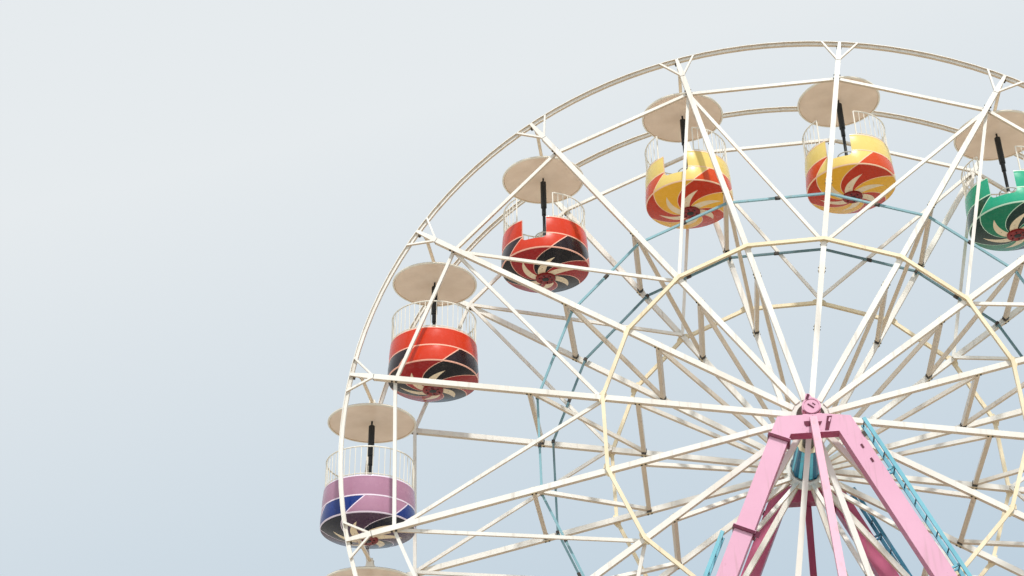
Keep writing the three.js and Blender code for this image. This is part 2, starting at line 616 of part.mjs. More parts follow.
// The round bearing housing with its lifting lug, closed in front, open towards the wheel
function bearing() {
  const yMin = BEARING_SETBACK - TOWER_FACE_Y;
  const yMax = TOWER_DEPTH - TOWER_FACE_Y;
  const bore = (SHAFT_RADIUS + BEARING_CLEARANCE) / Math.cos(Math.PI / CABIN_COUNT);
  const capY = yMin + BEARING_CAP;
  const housing = solidOf(turned([
    [0, yMin],
    [BEARING_RADIUS, yMin],
    [BEARING_RADIUS, yMax],
    [bore, yMax],
    [bore, capY],
    [0, capY],
  ], CABIN_COUNT, FIRST_ANGLE + Math.PI / CABIN_COUNT).translate(0, 0, HUB_HEIGHT));
  const seat = box(-BEARING_RADIUS, BEARING_RADIUS, yMin, yMax, HEAD_TOP + SEAM, HEAD_TOP + BEARING_SEAT);
  const crown = HUB_HEIGHT + BEARING_RADIUS;
  const lug = plate(LUG_OUTLINE.map(([x, z]) => [x, crown + z]), yMin, yMin + LUG_THICKNESS);
  return joined([housing, seat, lug]);
}

// A sill under the feet of one tower, notched over the tie beam
function sill() {
  const reach = legAxisX(SILL_HEIGHT) + legHalfLevel + FOOT_MARGIN + SILL_OVERHANG;
  const yMin = -TOWER_CENTRE_Y - SILL_DEPTH / 2;
  const yMax = -TOWER_CENTRE_Y + SILL_DEPTH / 2;
  const beam = box(-reach, reach, yMin, yMax, 0, SILL_HEIGHT);
  const notchHalf = TIE_WIDTH / 2 + SEAM;
  const notch = box(-notchHalf, notchHalf, yMin - CUT_MARGIN, yMax + CUT_MARGIN,
    -CUT_MARGIN, TIE_HEIGHT + SEAM);
  return beam.subtract(notch);
}

function tieBeam() {
  const strutFoot = TOWER_FACE_Y + (STRUT_TOP - TIE_HEIGHT) * STRUT_LEAN;
  const reach = strutFoot + TIE_OVERHANG;
  return box(-TIE_WIDTH / 2, TIE_WIDTH / 2, -reach, reach, 0, TIE_HEIGHT);
}

// A ladder along the outer side of a leg, between two heights
function ladder({ side, towerSign, zTop }) {
  const centreY = towerSign * TOWER_CENTRE_Y;
  const zBottom = LADDER_BOTTOM;
  const leanAngle = Math.atan(LEG_LEAN);
  const outward = new THREE.Vector3(side * Math.cos(leanAngle), 0, Math.sin(leanAngle));
  const faceAt = (z) => new THREE.Vector3(side * (legAxisX(z) + legHalfLevel), 0, z);
  const lineAt = (z, y) => faceAt(z).addScaledVector(outward, LADDER_STANDOFF).setY(y);
  const railYs = [centreY - LADDER_WIDTH / 2, centreY + LADDER_WIDTH / 2];
  const rails = railYs.map((y) => (
    bar(lineAt(zTop, y), lineAt(zBottom, y), LADDER_RAIL_WIDTH, LADDER_RAIL_DEPTH)
  ));
  const firstRung = zTop - LADDER_FIRST_RUNG;
  const rungCount = Math.floor((firstRung - zBottom) / LADDER_RUNG_STEP) + 1;
  const rungHeights = Array.from({ length: rungCount }, (_, index) => firstRung - index * LADDER_RUNG_STEP);
  const rungs = rungHeights.map((z) => (
    bar(lineAt(z, railYs[0]), lineAt(z, railYs[1]), LADDER_RUNG, LADDER_RUNG, X_AXIS)
  ));
  const bracketHeights = rungHeights.filter((_, index) => index % LADDER_BRACKET_EVERY === 0);
  const brackets = bracketHeights.map((z) => {
    const start = faceAt(z).addScaledVector(outward, SEAM).setY(centreY);
    return bar(start, lineAt(z, centreY), LADDER_BRACKET, LADDER_BRACKET);
  });
  return joined([...rails, ...rungs, ...brackets]);
}

const ferrisWheel = new THREE.Group();
const wheel = new THREE.Group();
wheel.position.set(0, 0, HUB_HEIGHT);
ferrisWheel.add(wheel);

// The turning wheel
const sides = {
  front: { planeY: -WHEEL_HALF_DEPTH, inward: 1 },
  rear: { planeY: WHEEL_HALF_DEPTH, inward: -1 },
};
for (const [name, { planeY, inward }] of Object.entries(sides)) {
  wheel.add(meshOf(`${name}_spokes`, spokeStar(planeY), paint(WHITE)));
  wheel.add(meshOf(`${name}_bracing`, bracing(planeY, inward), paint(WHITE)));
  wheel.add(meshOf(`${name}_middle_ring`, middleRing(planeY, inward), paint(CREAM)));
  wheel.add(meshOf(`${name}_rim`, rim(planeY, inward), paint(WHITE)));
}
wheel.add(meshOf("front_drive_ring", frontHoop(), paint(DRIVE_BLUE)));
wheel.add(meshOf("rear_drive_ring", rearHoop(), paint(DRIVE_BLUE)));
wheel.add(meshOf("cross_truss", crossTruss(), paint(WHITE)));
wheel.add(meshOf("axle", axle(), paint(DRUM_BLUE)));

// The sixteen hanging cabins
const tubSolid = tub();
const canopySolid = canopy();
for (const index of spokeIndices) {
  const label = String(index + 1).padStart(2, "0");
  const cabin = new THREE.Group();
  cabin.position.copy(wheelPoint(CABIN_AXLE_RADIUS, angleOf(index)));
  const pair = Math.floor(((index + 1) % CABIN_COUNT) / 2);
  const tubPaint = paint(TUB_COLOURS[pair % TUB_COLOURS.length], 0.25);
  const tubMesh = meshOf(`cabin_${label}_tub`, tubSolid, tubPaint);
  tubMesh.rotation.z = THREE.MathUtils.degToRad(DOOR_TURNS[index]);
  const canopyMesh = meshOf(`cabin_${label}_canopy`, canopySolid, paint(ROOF_TAN));
  cabin.add(tubMesh, canopyMesh);
  wheel.add(cabin);
}

// The towers. The rear one is the front one turned half round, so its left and right change places.
const towers = [
  { name: "front", turn: 0, near: "left", far: "right" },
  { name: "rear", turn: Math.PI, near: "right", far: "left" },
];
for (const { name, turn, near, far } of towers) {
  const tower = new THREE.Group();
  tower.rotation.z = turn;
  tower.add(meshOf(`${name}_tower_head`, towerHead(), paint(PINK)));
  tower.add(meshOf(`${name}_bearing`, bearing(), paint(PINK)));
  tower.add(meshOf(`${name}_${near}_leg`, towerLeg(-1, true), paint(PINK)));
  tower.add(meshOf(`${name}_${far}_leg`, towerLeg(1, false), paint(PINK)));
  tower.add(meshOf(`${name}_strut`, towerStrut(), paint(PINK)));
  tower.add(meshOf(`${name}_sill`, sill(), paint(GREY_STEEL)));
  ferrisWheel.add(tower);
}
ferrisWheel.add(meshOf("tie_beam", tieBeam(), paint(GREY_STEEL)));

// The ladders
const ladders = {
  front_right_ladder: { side: 1, towerSign: -1, zTop: LADDER_TOP },
  front_left_ladder: { side: -1, towerSign: -1, zTop: LOW_LADDER_TOP },
  rear_right_ladder: { side: 1, towerSign: 1, zTop: LADDER_TOP },
};
for (const [name, place] of Object.entries(ladders)) {
  ferrisWheel.add(meshOf(name, ladder(place), paint(LIGHT_BLUE)));
}

export default ferrisWheel;
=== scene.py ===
# Looks of the ferris wheel: sixteen round tub cabins between two pink A-shaped towers.
# Metres, in the model's frame: +Z up, the origin on the ground under the middle of the axle,
# and the front facing -Y.

import math

import bmesh
import bpy
from mathutils import Matrix, Vector


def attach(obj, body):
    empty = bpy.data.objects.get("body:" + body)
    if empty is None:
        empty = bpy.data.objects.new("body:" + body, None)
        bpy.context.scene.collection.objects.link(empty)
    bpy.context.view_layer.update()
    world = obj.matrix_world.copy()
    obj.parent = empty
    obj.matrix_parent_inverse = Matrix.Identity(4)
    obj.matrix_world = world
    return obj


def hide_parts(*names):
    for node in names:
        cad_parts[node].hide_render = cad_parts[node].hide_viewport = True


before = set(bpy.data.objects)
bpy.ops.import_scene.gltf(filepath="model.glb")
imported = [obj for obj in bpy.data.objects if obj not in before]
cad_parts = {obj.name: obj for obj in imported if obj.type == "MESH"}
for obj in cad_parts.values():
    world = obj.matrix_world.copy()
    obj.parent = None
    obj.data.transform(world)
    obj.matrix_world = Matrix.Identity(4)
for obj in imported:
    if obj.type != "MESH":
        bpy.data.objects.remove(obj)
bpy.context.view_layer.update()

X_AXIS = Vector((1, 0, 0))
Y_AXIS = Vector((0, 1, 0))
Z_AXIS = Vector((0, 0, 1))
TURN = 2 * math.pi
SHARP_ANGLE = math.radians(32)  # edges sharper than this are not smoothed over
CORNERS = ((-1, -1), (1, -1), (1, 1), (-1, 1))

# Camera, from the photograph's perspective
CAMERA_PLACE = (-2.270, -26.781, 1.602)
CAMERA_ANGLES = (121.175, 0.627, 7.134)  # degrees about X, Y and Z
CAMERA_LENS = 55.5
CAMERA_SENSOR = 36.0

# Wheel
CABIN_COUNT = 16
HUB_HEIGHT = 14.1
RIM_RADIUS = 8.5
FIRST_ANGLE = math.radians(10.05)
SPOKE_ANGLES = [FIRST_ANGLE + TURN * index / CABIN_COUNT for index in range(CABIN_COUNT)]
WHEEL_HALF_DEPTH = 1.118
SPOKE_SIZE = 0.1
TRUSS_SIZE = 0.08
HOOP_SIZE = 0.042
INNER_TIE_RADIUS = 0.363 * RIM_RADIUS
MIDDLE_RING_RADIUS = 0.438 * RIM_RADIUS
OUTER_TIE_RADIUS = 0.599 * RIM_RADIUS
CHORD_RING_RADIUS = 0.901 * RIM_RADIUS
SPOKE_END_RADIUS = 0.948 * RIM_RADIUS
CABIN_AXLE_RADIUS = 0.978 * RIM_RADIUS
RIM_SETBACK = 0.025  # from the spokes' centre plane to the rim's, towards the wheel's middle
STRIP_OUTER_RADIUS = RIM_RADIUS + 0.033
STRIP_INNER_RADIUS = RIM_RADIUS + 0.02
STRIP_WIDTH = 0.15
RIM_TUBE_RADIUS = RIM_RADIUS - 0.035
RIM_TUBE_WIDTH = 0.06
FORK_DEPTH = 0.05
FORK_SPREAD = 0.042 * RIM_RADIUS
FORK_ROOT = 0.035
FORK_CROTCH = 0.092
FORK_ARM = 0.045
FORK_NECK = 0.06
HOOPS = {-1: (4.962, -0.9), 1: (4.862, 0.975)}  # radius and Y of the front and rear drive hoops
HOOP_CLAMP_HALF = 0.03
HOOP_CLAMP_SIZE = HOOP_SIZE + 0.02
HOOP_SPLICE_HALF = 0.05
HOOP_SPLICE_SIZE = HOOP_SIZE + 0.018
TRUSS_SLEEVE_HALF = 0.04
TRUSS_SLEEVE_SIZE = TRUSS_SIZE + 0.016
RIM_STEPS = 128
JOINT_LINE = 0.004  # half length of the dark line between a spoke and its fork
BLOCK_SETBACK = 0.045
BLOCK_DEPTH = 0.085
BLOCK_WIDTH = 0.1
PLATE = 0.008  # thickness of the gussets and tie plates
GUSSET = ((0.05, -0.07), (0.13, -0.03), (0.13, 0.03), (0.05, 0.07))
TIE_PLATE = ((-0.04, -0.06), (0.04, -0.06), (0.04, 0.06), (-0.04, 0.06))
TIE_BOLT = 0.024
TIE_BOLT_SHIFT = 0.035
CHORD_BOLT = 0.03
CHORD_BOLT_SHIFT = 0.04
HUB_RING_INNER = 0.14
HUB_RING_OUTER = 0.25
HUB_RING_THICKNESS = 0.012
SHAFT_RADIUS = 0.11
SHAFT_END_Y = 1.495
DRUM_FRONT_RADIUS = 0.21
DRUM_REAR_RADIUS = 0.29
DRUM_FRONT_Y = 0.0
DRUM_REAR_Y = 1.04
DRUM_SIDES = 8
STRIPE_WIDTH = 0.062
STRIPE_THICKNESS = 0.004

# Cabin, measured down from its axle
CABIN_PIN_RADIUS = 0.035
ROOF_RADIUS = 0.85
ROOF_EDGE_Z = -0.465
ROOF_EDGE_THICKNESS = 0.03
ROOF_RISE = 0.12
ROOF_HOLLOW = 0.065  # from the edge up to the ceiling at the pole
HANGER_WIDTH = 0.12
HANGER_FOOT = 0.5
HANGER_DEPTH = 0.12
SLEEVE_RADIUS = 0.06
SLEEVE_BOTTOM_Z = -1.14
SLEEVE_SHOULDER_Z = -0.505
SLEEVE_TIP_Z = -0.47
COLLAR_RADIUS = 0.044  # of the shorter, thinner sleeve below
COLLAR_BOTTOM_Z = -1.32
NECK_RADIUS = 0.019
POLE_RADIUS = 0.032
TUB_RIM_Z = -1.89
TUB_LINE_Z = -2.3
TUB_EDGE_Z = -2.625
TUB_BOTTOM_Z = -2.815
TUB_RIM_RADIUS = 0.85
TUB_BASE_RADIUS = 0.885
TUB_WALL = 0.045
DISH_RISE = 0.15
DISH_RADIUS = 0.84
DISH_POWER = 1.4
TUB_FLOOR_Z = -2.69
BENCH_Z = -2.28
BENCH_FRONT_RADIUS = 0.45
DOOR_WIDTH = 0.5
DOOR_SILL_Z = -2.42
DOOR_STEP_Z = -2.6
DOOR_CORNER = 0.09
STEP_OUTER_RADIUS = 0.74
STEP_INNER_RADIUS = 0.37
GATE_WIDTH = 0.72
RAIL_HEIGHT = 0.59
RAIL_SIZE = 0.028
RAIL_BARS = 40
FLANGE_RADIUS = 0.19
FLANGE_THICKNESS = 0.04
# The turn of each tub's doorway about its pole, in degrees: 0 faces the front
DOOR_TURNS = [-17, -20, 0, 12, 180, 170, 0, 180, 0, 165, 180, -12, 142, -121, -9, -16]

# Paint on the tubs: six spiral panels of two colours, parted by thin lines, and a petal in each
TUB_PANELS = 6
PANEL_COLUMNS = 15
LINE_WIDTH = 0.03
UNDERSIDE_TWIST = math.radians(62)
BAND_TWIST = math.radians(22)
PATTERN_PHASE = math.radians(-7)  # of the band's lower lines, from the middles between doorway and panels
PETAL_TIP_RADIUS = 0.65
PETAL_HALF_WIDTH = 0.088
DISC_RADIUS = 0.2

# Fine shape of the tub's skin
SKIN_START_RADIUS = 0.6 * FLANGE_RADIUS
DISH_STEPS = 14
EDGE_STEPS = 4
BAND_STEPS = 8
LIP_STEPS = 6
WALL_SWELL = 0.008
LINE_LIFT = 0.004
LIP_HEIGHT = 0.02
LIP_OVERHANG = 0.003
BENCH_ROUND = 0.05
BENCH_EASE = 0.015
BENCH_COVE = 0.06
FLOOR_COVE_WIDTH = 0.03
FLOOR_COVE_HEIGHT = 0.04
POLE_GAP = 0.004
CORNER_STEPS = 6
CUT_MARGIN = 0.1

# Small fittings of a cabin
DISC_CENTRE_RADIUS = 0.07
DISC_BOLT = 0.022
DISC_BOLT_CIRCLE = 0.13
DISC_BOLTS = 6
RAIL_STEPS = 84
RAIL_BAR_RADIUS = 0.0075
RAIL_WIRE_RADIUS = 0.009
RAIL_WIRE_HEIGHT = 0.03
RAIL_POST_ROOT = 0.04
RAIL_BAR_ROOT = 0.012
HAND_WHEEL_RADIUS = 0.18
HAND_WHEEL_HEIGHT = 0.05
HAND_WHEEL_TUBE = 0.012
HAND_WHEEL_ARM = 0.008
HAND_WHEEL_BOSS = 0.055
ROOF_SIDES = 64
ROOF_STEPS = 12
ROOF_CURVE = 1.7
SEAM = 0.0003  # between a piece and its seat
AXLE_COLLAR_RADIUS = 0.046
HANGER_PLATE = 0.012
HANGER_TOP = 0.035
HANGER_WAIST_Z = -0.1
HANGER_BOLT = 0.024
HANGER_BOLT_X = 0.19


# Shapes

def section_square(width, depth, chamfer=0.006):
    """Outline of a square tube with its corners eased."""
    w, d, c = width / 2, depth / 2, chamfer
    return [(w, d - c), (w - c, d), (c - w, d), (-w, d - c),
            (-w, c - d), (c - w, -d), (w - c, -d), (w, c - d)]


def section_round(radius, sides):
    return [(radius * math.cos(TURN * k / sides), radius * math.sin(TURN * k / sides)) for k in range(sides)]


def solid_profile(radius, low, high):
    """Profile of a plain round solid, for turned."""
    return [[0, low], [radius, low], [radius, high], [0, high]]


def outwards(angle, upright=False):
    """The direction at an angle about Y, from +Z towards +X, or about Z if upright, from -Y."""
    if upright:
        return Vector((math.sin(angle), -math.cos(angle), 0))
    return Vector((math.sin(angle), 0, math.cos(angle)))


def onwards(angle):
    """The direction about Y that the angle grows in, square to outwards."""
    return Vector((math.cos(angle), 0, -math.sin(angle)))


class Shape:
    """Points and faces of one piece, each face with the number of its material."""

    def __init__(self):
        self.points = []
        self.faces = []
        self.slots = []

    def add(self, points, faces, slot=0):
        first = len(self.points)
        self.points.extend(Vector(p) for p in points)
        self.faces.extend(tuple(first + index for index in face) for face in faces)
        self.slots.extend([slot] * len(faces))

    def sweep(self, section, stations, slot=0, closed=False):
        """A section carried through stations, each a place with its two directions."""
        count = len(section)
        points = [place + side * a + third * b for place, side, third in stations for a, b in section]
        rings = len(stations)
        spans = rings if closed else rings - 1
        faces = []
        for ring in range(spans):
            here = ring * count
            there = ((ring + 1) % rings) * count
            for k in range(count):
                after = (k + 1) % count
                faces.append((here + k, here + after, there + after, there + k))
        if not closed:
            faces.append(tuple(reversed(range(count))))
            faces.append(tuple(range((rings - 1) * count, rings * count)))
        self.add(points, faces, slot)

    def run(self, section, places, slot=0, across=None):
        """A section carried through a list of places."""
        places = [Vector(p) for p in places]
        stations = []
        for k, place in enumerate(places):
            along = (places[min(k + 1, len(places) - 1)] - places[max(k - 1, 0)]).normalized()
            level = across
            if across is None:
                level = X_AXIS if abs(along.x) < 0.9 else Y_AXIS
            side = level.cross(along).normalized()
            stations.append((place, side, along.cross(side)))
        self.sweep(section, stations, slot)

    def bar(self, start, end, width, depth, across=Y_AXIS, slot=0, chamfer=0.006):
        """A square tube. Its depth lies along across, its width square to that."""
        self.run(section_square(width, depth, chamfer), (start, end), slot, across)

    def sleeve(self, place, direction, half_length, size, across=Y_AXIS):
        """A dark square clamp round a bar that runs along a direction."""
        self.bar(place - direction * half_length, place + direction * half_length, size, size, across, 1)

    def rod(self, start, end, radius, sides, slot=0):
        self.run(section_round(radius, sides), (start, end), slot)

    def hoop(self, section, radius, centre, steps, first=0.0, span=TURN, upright=False, slot=0):
        """A ring about Y, or about Z if upright. A section's point is outwards, then along the axis."""
        closed = abs(span - TURN) < 1e-6
        count = steps if closed else steps + 1
        axis = Z_AXIS if upright else Y_AXIS
        stations = []
        for k in range(count):
            out = outwards(first + span * k / steps, upright)
            stations.append((Vector(centre) + out * radius, out, axis))
        self.sweep(section, stations, slot, closed)

    def turned(self, profile, centre=(0, 0, 0), steps=32, upright=False, slot=0, first=0.0):
        """A profile of [radius, distance along the axis] turned about Y, or about Z if upright."""
        centre = Vector(centre)
        axis = Z_AXIS if upright else Y_AXIS
        rings = []
        points = []
        for radius, along in profile:
            if radius < 1e-6:
                rings.append([len(points)] * steps)
                points.append(centre + axis * along)
                continue
            rings.append(list(range(len(points), len(points) + steps)))
            for k in range(steps):
                out = outwards(first + TURN * k / steps, upright)
                points.append(centre + out * radius + axis * along)
        faces = []
        for low, high in zip(rings, rings[1:]):
            for k in range(steps):
                after = (k + 1) % steps
                corners = [low[k], low[after], high[after], high[k]]
                kept = [c for i, c in enumerate(corners) if c not in corners[:i]]
                if len(kept) > 2:
                    faces.append(tuple(kept))
        self.add(points, faces, slot)

    def slab(self, outline, place, right, up, thickness, slot=0):
        """A flat plate cut to an outline in two directions, half its thickness to each side of its place."""
        place = Vector(place)
        normal = right.cross(up).normalized()
        count = len(outline)
        front = [place + right * a + up * b + normal * (thickness / 2) for a, b in outline]
        back = [p - normal * thickness for p in front]
        faces = [tuple(range(count)), tuple(reversed(range(count, 2 * count)))]
        for k in range(count):
            after = (k + 1) % count
            faces.append((k, count + k, count + after, after))
        self.add(front + back, faces, slot)

    def bolt(self, place, direction, size, slot):
        """A six-sided bolt head on a washer."""
        place = Vector(place)
        washer_top = place + direction * size * 0.15
        head_top = place + direction * size * 0.65
        self.rod(place, washer_top, size * 0.8, 12, slot)
        self.rod(washer_top, head_top, size * 0.5, 6, slot)

    def mesh(self, name, materials):
        made = bpy.data.meshes.new(name)
        made.from_pydata([tuple(p) for p in self.points], [], self.faces)
        for material in materials:
            made.materials.append(material)
        made.polygons.foreach_set("material_index", self.slots)
        shaped = bmesh.new()
        shaped.from_mesh(made)
        bmesh.ops.recalc_face_normals(shaped, faces=shaped.faces)
        shaped.to_mesh(made)
        shaped.free()
        made.shade_smooth()
        made.set_sharp_from_angle(angle=SHARP_ANGLE)
        return made


def linked(name, data):
    """A new object in the scene."""
    thing = bpy.data.objects.new(name, data)
    bpy.context.scene.collection.objects.link(thing)
    return thing


def place_piece(name, mesh, body, replaces=(), place=(0, 0, 0), turn=0):
    """A visible piece that rides on a body, turned about Z, in place of the model pieces it replaces."""
    if turn:
        mesh = mesh.copy()
        mesh.transform(Matrix.Rotation(turn, 4, "Z"))
    piece = linked(name, mesh)
    piece.location = place
    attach(piece, body)
    if replaces:
        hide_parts(*replaces)


# Materials

def linear(code):
    """A colour from its screen code, as the shader wants it."""
    values = [int(code[k:k + 2], 16) / 255 for k in (0, 2, 4)]
    return tuple(v / 12.92 if v <= 0.04045 else ((v + 0.055) / 1.055) ** 2.4 for v in values) + (1.0,)


class Recipe:
    """A material in the making, with short calls for the nodes it uses."""

    def __init__(self, name, **constants):
        self.material = bpy.data.materials.new(name)
        self.material.use_nodes = True
        self.tree = self.material.node_tree
        self.shader = self.tree.nodes["Principled BSDF"]
        for socket, value in constants.items():
            self.shader.inputs[socket.replace("_", " ")].default_value = value
        self.coordinates = self.node("ShaderNodeTexCoord").outputs["Object"]

    def node(self, kind, **constants):
        """A new node with some of its sockets set."""
        made = self.tree.nodes.new(kind)
        for socket, value in constants.items():
            made.inputs[socket.replace("_", " ")].default_value = value
        return made

    def noise(self, scale, detail, roughness=0.55, stretch=(1, 1, 1)):
        mapping = self.node("ShaderNodeMapping", Scale=stretch)
        node = self.node("ShaderNodeTexNoise", Scale=scale, Detail=detail, Roughness=roughness)
        self.tree.links.new(self.coordinates, mapping.inputs["Vector"])
        self.tree.links.new(mapping.outputs["Vector"], node.inputs["Vector"])
        return node.outputs["Fac"]

    def spread(self, value, low, high, to_low=0.0, to_high=1.0):
        node = self.node("ShaderNodeMapRange", From_Min=low, From_Max=high, To_Min=to_low, To_Max=to_high)
        self.tree.links.new(value, node.inputs["Value"])
        return node.outputs["Result"]

    def painted_shade_mask(self):
        """How far a face is turned to the ground, from none to all: the mask of painted shade underneath."""
        normal = self.node("ShaderNodeNewGeometry").outputs["Normal"]
        parts = self.node("ShaderNodeSeparateXYZ")
        self.tree.links.new(normal, parts.inputs[0])
        return self.spread(parts.outputs["Z"], 0.0, -0.6)

    def mix(self, first, second, factor):
        node = self.node("ShaderNodeMix")
        node.data_type = "RGBA"
        for socket, value in ((node.inputs[6], first), (node.inputs[7], second)):
            if isinstance(value, tuple):
                socket.default_value = value
            else:
                self.tree.links.new(value, socket)
        self.tree.links.new(factor, node.inputs[0])
        return node.outputs[2]

    def finish(self, colour, roughness, bump=None, distance=0.002, strength=0.4):
        self.tree.links.new(colour, self.shader.inputs["Base Color"])
        self.tree.links.new(roughness, self.shader.inputs["Roughness"])
        if bump is not None:
            node = self.node("ShaderNodeBump", Distance=distance, Strength=strength)
            self.tree.links.new(bump, node.inputs["Height"])
            self.tree.links.new(node.outputs["Normal"], self.shader.inputs["Normal"])
        return self.material


RUST = linear("7a3f1e")
DIRT = linear("8d7a63")
DUST = linear("b9a88f")
GREASE = linear("4b443c")


def painted_steel(name, colour, faded, rust=0.35, gloss=0.38, below=None):
    """Brushed-on enamel over steel: clouded colour, faint runs of dirt and small rusty chips.
    Faces turned to the ground can take a deeper colour, given as below: painted shade."""
    recipe = Recipe(name, Specular_IOR_Level=0.4)
    clouds = recipe.spread(recipe.noise(0.9, 5), 0.35, 0.7)
    base = recipe.mix(linear(colour), linear(faded), clouds)
    # Painted shade: the colour given as below, on faces turned to the ground
    if below:
        base = recipe.mix(base, linear(below), recipe.painted_shade_mask())
    runs = recipe.spread(recipe.noise(5.0, 4, stretch=(2.2, 2.2, 0.12)), 0.56, 0.74, 0.0, 0.3)
    base = recipe.mix(base, DIRT, runs)
    chips = recipe.spread(recipe.noise(9.0, 8, roughness=0.7), 0.66, 0.72, 0.0, rust)
    base = recipe.mix(base, RUST, chips)
    rough = recipe.spread(recipe.noise(24.0, 3), 0.3, 0.7, gloss - 0.08, gloss + 0.14)
    return recipe.finish(base, rough, recipe.noise(60.0, 3), 0.0015, 0.35)


def fibreglass(name, colour, faded, gloss=0.2, below=None):
    """Glossy painted fibreglass with a slight ripple, faded and dusty in patches.
    Its underside can take a deeper colour, given as below: painted shade."""
    recipe = Recipe(name, Coat_Weight=0.2, Coat_Roughness=0.12, Specular_IOR_Level=0.25)
    clouds = recipe.spread(recipe.noise(2.4, 4), 0.35, 0.75)
    base = recipe.mix(linear(colour), linear(faded), clouds)
    # Painted shade: the colour given as below, on faces turned to the ground
    if below:
        base = recipe.mix(base, linear(below), recipe.painted_shade_mask())
    dust = recipe.spread(recipe.noise(14.0, 6, roughness=0.65), 0.55, 0.8, 0.0, 0.08)
    base = recipe.mix(base, DUST, dust)
    rough = recipe.spread(recipe.noise(9.0, 3), 0.3, 0.7, gloss, gloss + 0.12)
    return recipe.finish(base, rough, recipe.noise(7.0, 2), 0.004, 0.25)


def bare_steel(name, colour, metallic=0.6, gloss=0.45):
    """Greasy fittings of steel or rubber."""
    recipe = Recipe(name, Metallic=metallic)
    clouds = recipe.spread(recipe.noise(11.0, 6), 0.3, 0.7)
    base = recipe.mix(linear(colour), GREASE, clouds)
    rough = recipe.spread(recipe.noise(30.0, 4), 0.3, 0.7, gloss - 0.1, gloss + 0.2)
    return recipe.finish(base, rough, recipe.noise(80.0, 4), 0.001, 0.4)


def floor_finish():
    """Plain pale concrete, slightly clouded."""
    recipe = Recipe("floor_pale")
    clouds = recipe.spread(recipe.noise(0.25, 4), 0.3, 0.7)
    base = recipe.mix(linear("b0aca4"), linear("a6a29b"), clouds)
    rough = recipe.spread(recipe.noise(2.0, 4), 0.3, 0.7, 0.7, 0.85)
    return recipe.finish(base, rough)


# A colour given as below is painted shade on faces turned to the ground
white_steel = painted_steel("white_steel", "ecebe6", "e0dbd1", 0.3, below="ccb9a0")
cream_steel = painted_steel("cream_steel", "efe2c4", "e2d3b0", 0.35, below="ccb68e")
rail_white = painted_steel("rail_white", "efebe0", "ddd6c6", 0.2)
pink_steel = painted_steel("pink_steel", "e1afc7", "dba7bf", 0.3, below="a92d5e")
# The rear tower's pink, a deeper copy of the front tower's: painted shade
shaded_pink = painted_steel("shaded_pink", "c4688a", "aa4c6e", 0.4, below="86204a")
# The front strut's pink, a deeper, less blue copy of the tower pink: painted shade on its sunlit face
strut_shade_pink = painted_steel("strut_shade_pink", "d6a4b6", "d09cb0", 0.3, below="a92d5e")
# Dark maroon for small marks, and for painted shade under the flanges, beside the strut's top and under the
# bearing
maroon_steel = painted_steel("maroon_steel", "6a1838", "561030", 0.3)
ladder_paint = painted_steel("ladder_paint", "86c4d4", "6cb0c2", 0.25, below="2a6a82")
# The rear ladder's paint, a darker copy of the front ladders': painted shade
shaded_ladder_paint = painted_steel("shaded_ladder_paint", "3f86a6", "33718e", 0.3, below="1c4c64")
# Dark teal rungs: painted shade between the ladder's rails
rung_shade_paint = painted_steel("rung_shade_paint", "1d4b5a", "17404d", 0.3)
front_drive_paint = painted_steel("front_drive_paint", "86b0ba", "749ea8", 0.4)
rear_drive_paint = painted_steel("rear_drive_paint", "64858c", "527078", 0.4)
drum_paint = painted_steel("drum_paint", "0e6a8c", "0a5878", 0.1)
stripe_paint = painted_steel("stripe_paint", "66cfe4", "52bcd6", 0.2)
base_paint = painted_steel("base_paint", "8d8f90", "77797a", 0.6, gloss=0.55)
pole_paint = painted_steel("pole_paint", "17191b", "23282a", 0.15, gloss=0.4)
wheel_paint = painted_steel("wheel_paint", "c6c9c6", "b2b5b2", 0.2, gloss=0.3)
dark_fitting = bare_steel("dark_fitting", "3b3a39")
# Dark brown for the ring on the hub face: painted shade between the spokes' inner ends
hub_shade_brown = painted_steel("hub_shade_brown", "4a3328", "3a271f", 0.5)
block_rubber = bare_steel("block_rubber", "2d2912", 0.1, 0.7)
roof_tan = fibreglass("roof_tan", "f0dac6", "e2cab4", 0.45)
# Brown for the inner face of the roof's lip: painted shade
roof_lip_shade = fibreglass("roof_lip_shade", "d2b08c", "c4a07c", 0.45)
roof_edge = fibreglass("roof_edge", "eee8da", "e2d9c8", 0.4)
tub_inside = fibreglass("tub_inside", "ece7da", "ddd5c3", 0.35)
petal_cream = fibreglass("petal_cream", "f0dcbc", "e4cfac", 0.3)
disc_red = fibreglass("disc_red", "8c1414", "701010", 0.3)
disc_black = fibreglass("disc_black", "141011", "201a1a", 0.4)

# For each tub colour, which is also the record's slot: its light panel and that panel's painted shade
# underneath, its dark panel and that panel's painted shade underneath, and its lines
TUB_PAINTS = {
    "yellow": ("e8cf7a", "eeb232", "d04a1c", "c03008", "f6cfae"),
    "green": ("2aa884", "0c7a58", "06483a", "042e26", "c9e6cf"),
    "mauve": ("a87c94", "462c46", "163278", "0a0e24", "e6d8e6"),
    "red": ("cc3a20", "9c1616", "22141c", "100a10", "f2b8a2"),
}
TUB_ORDER = list(TUB_PAINTS)


def tub_materials(name):
    """A tub's materials, in the order of the slots below."""
    light, light_shade_below, dark, dark_shade_below, line = TUB_PAINTS[name]
    return [
        fibreglass(f"{name}_light", light, light, below=light_shade_below),
        fibreglass(f"{name}_dark", dark, dark, below=dark_shade_below),
        fibreglass(f"{name}_line", line, line, 0.3),
        tub_inside, petal_cream, disc_red, disc_black,
    ]


LIGHT, DARK, LINE, INSIDE, PETAL, DISC, CENTRE = range(7)


# Cabins

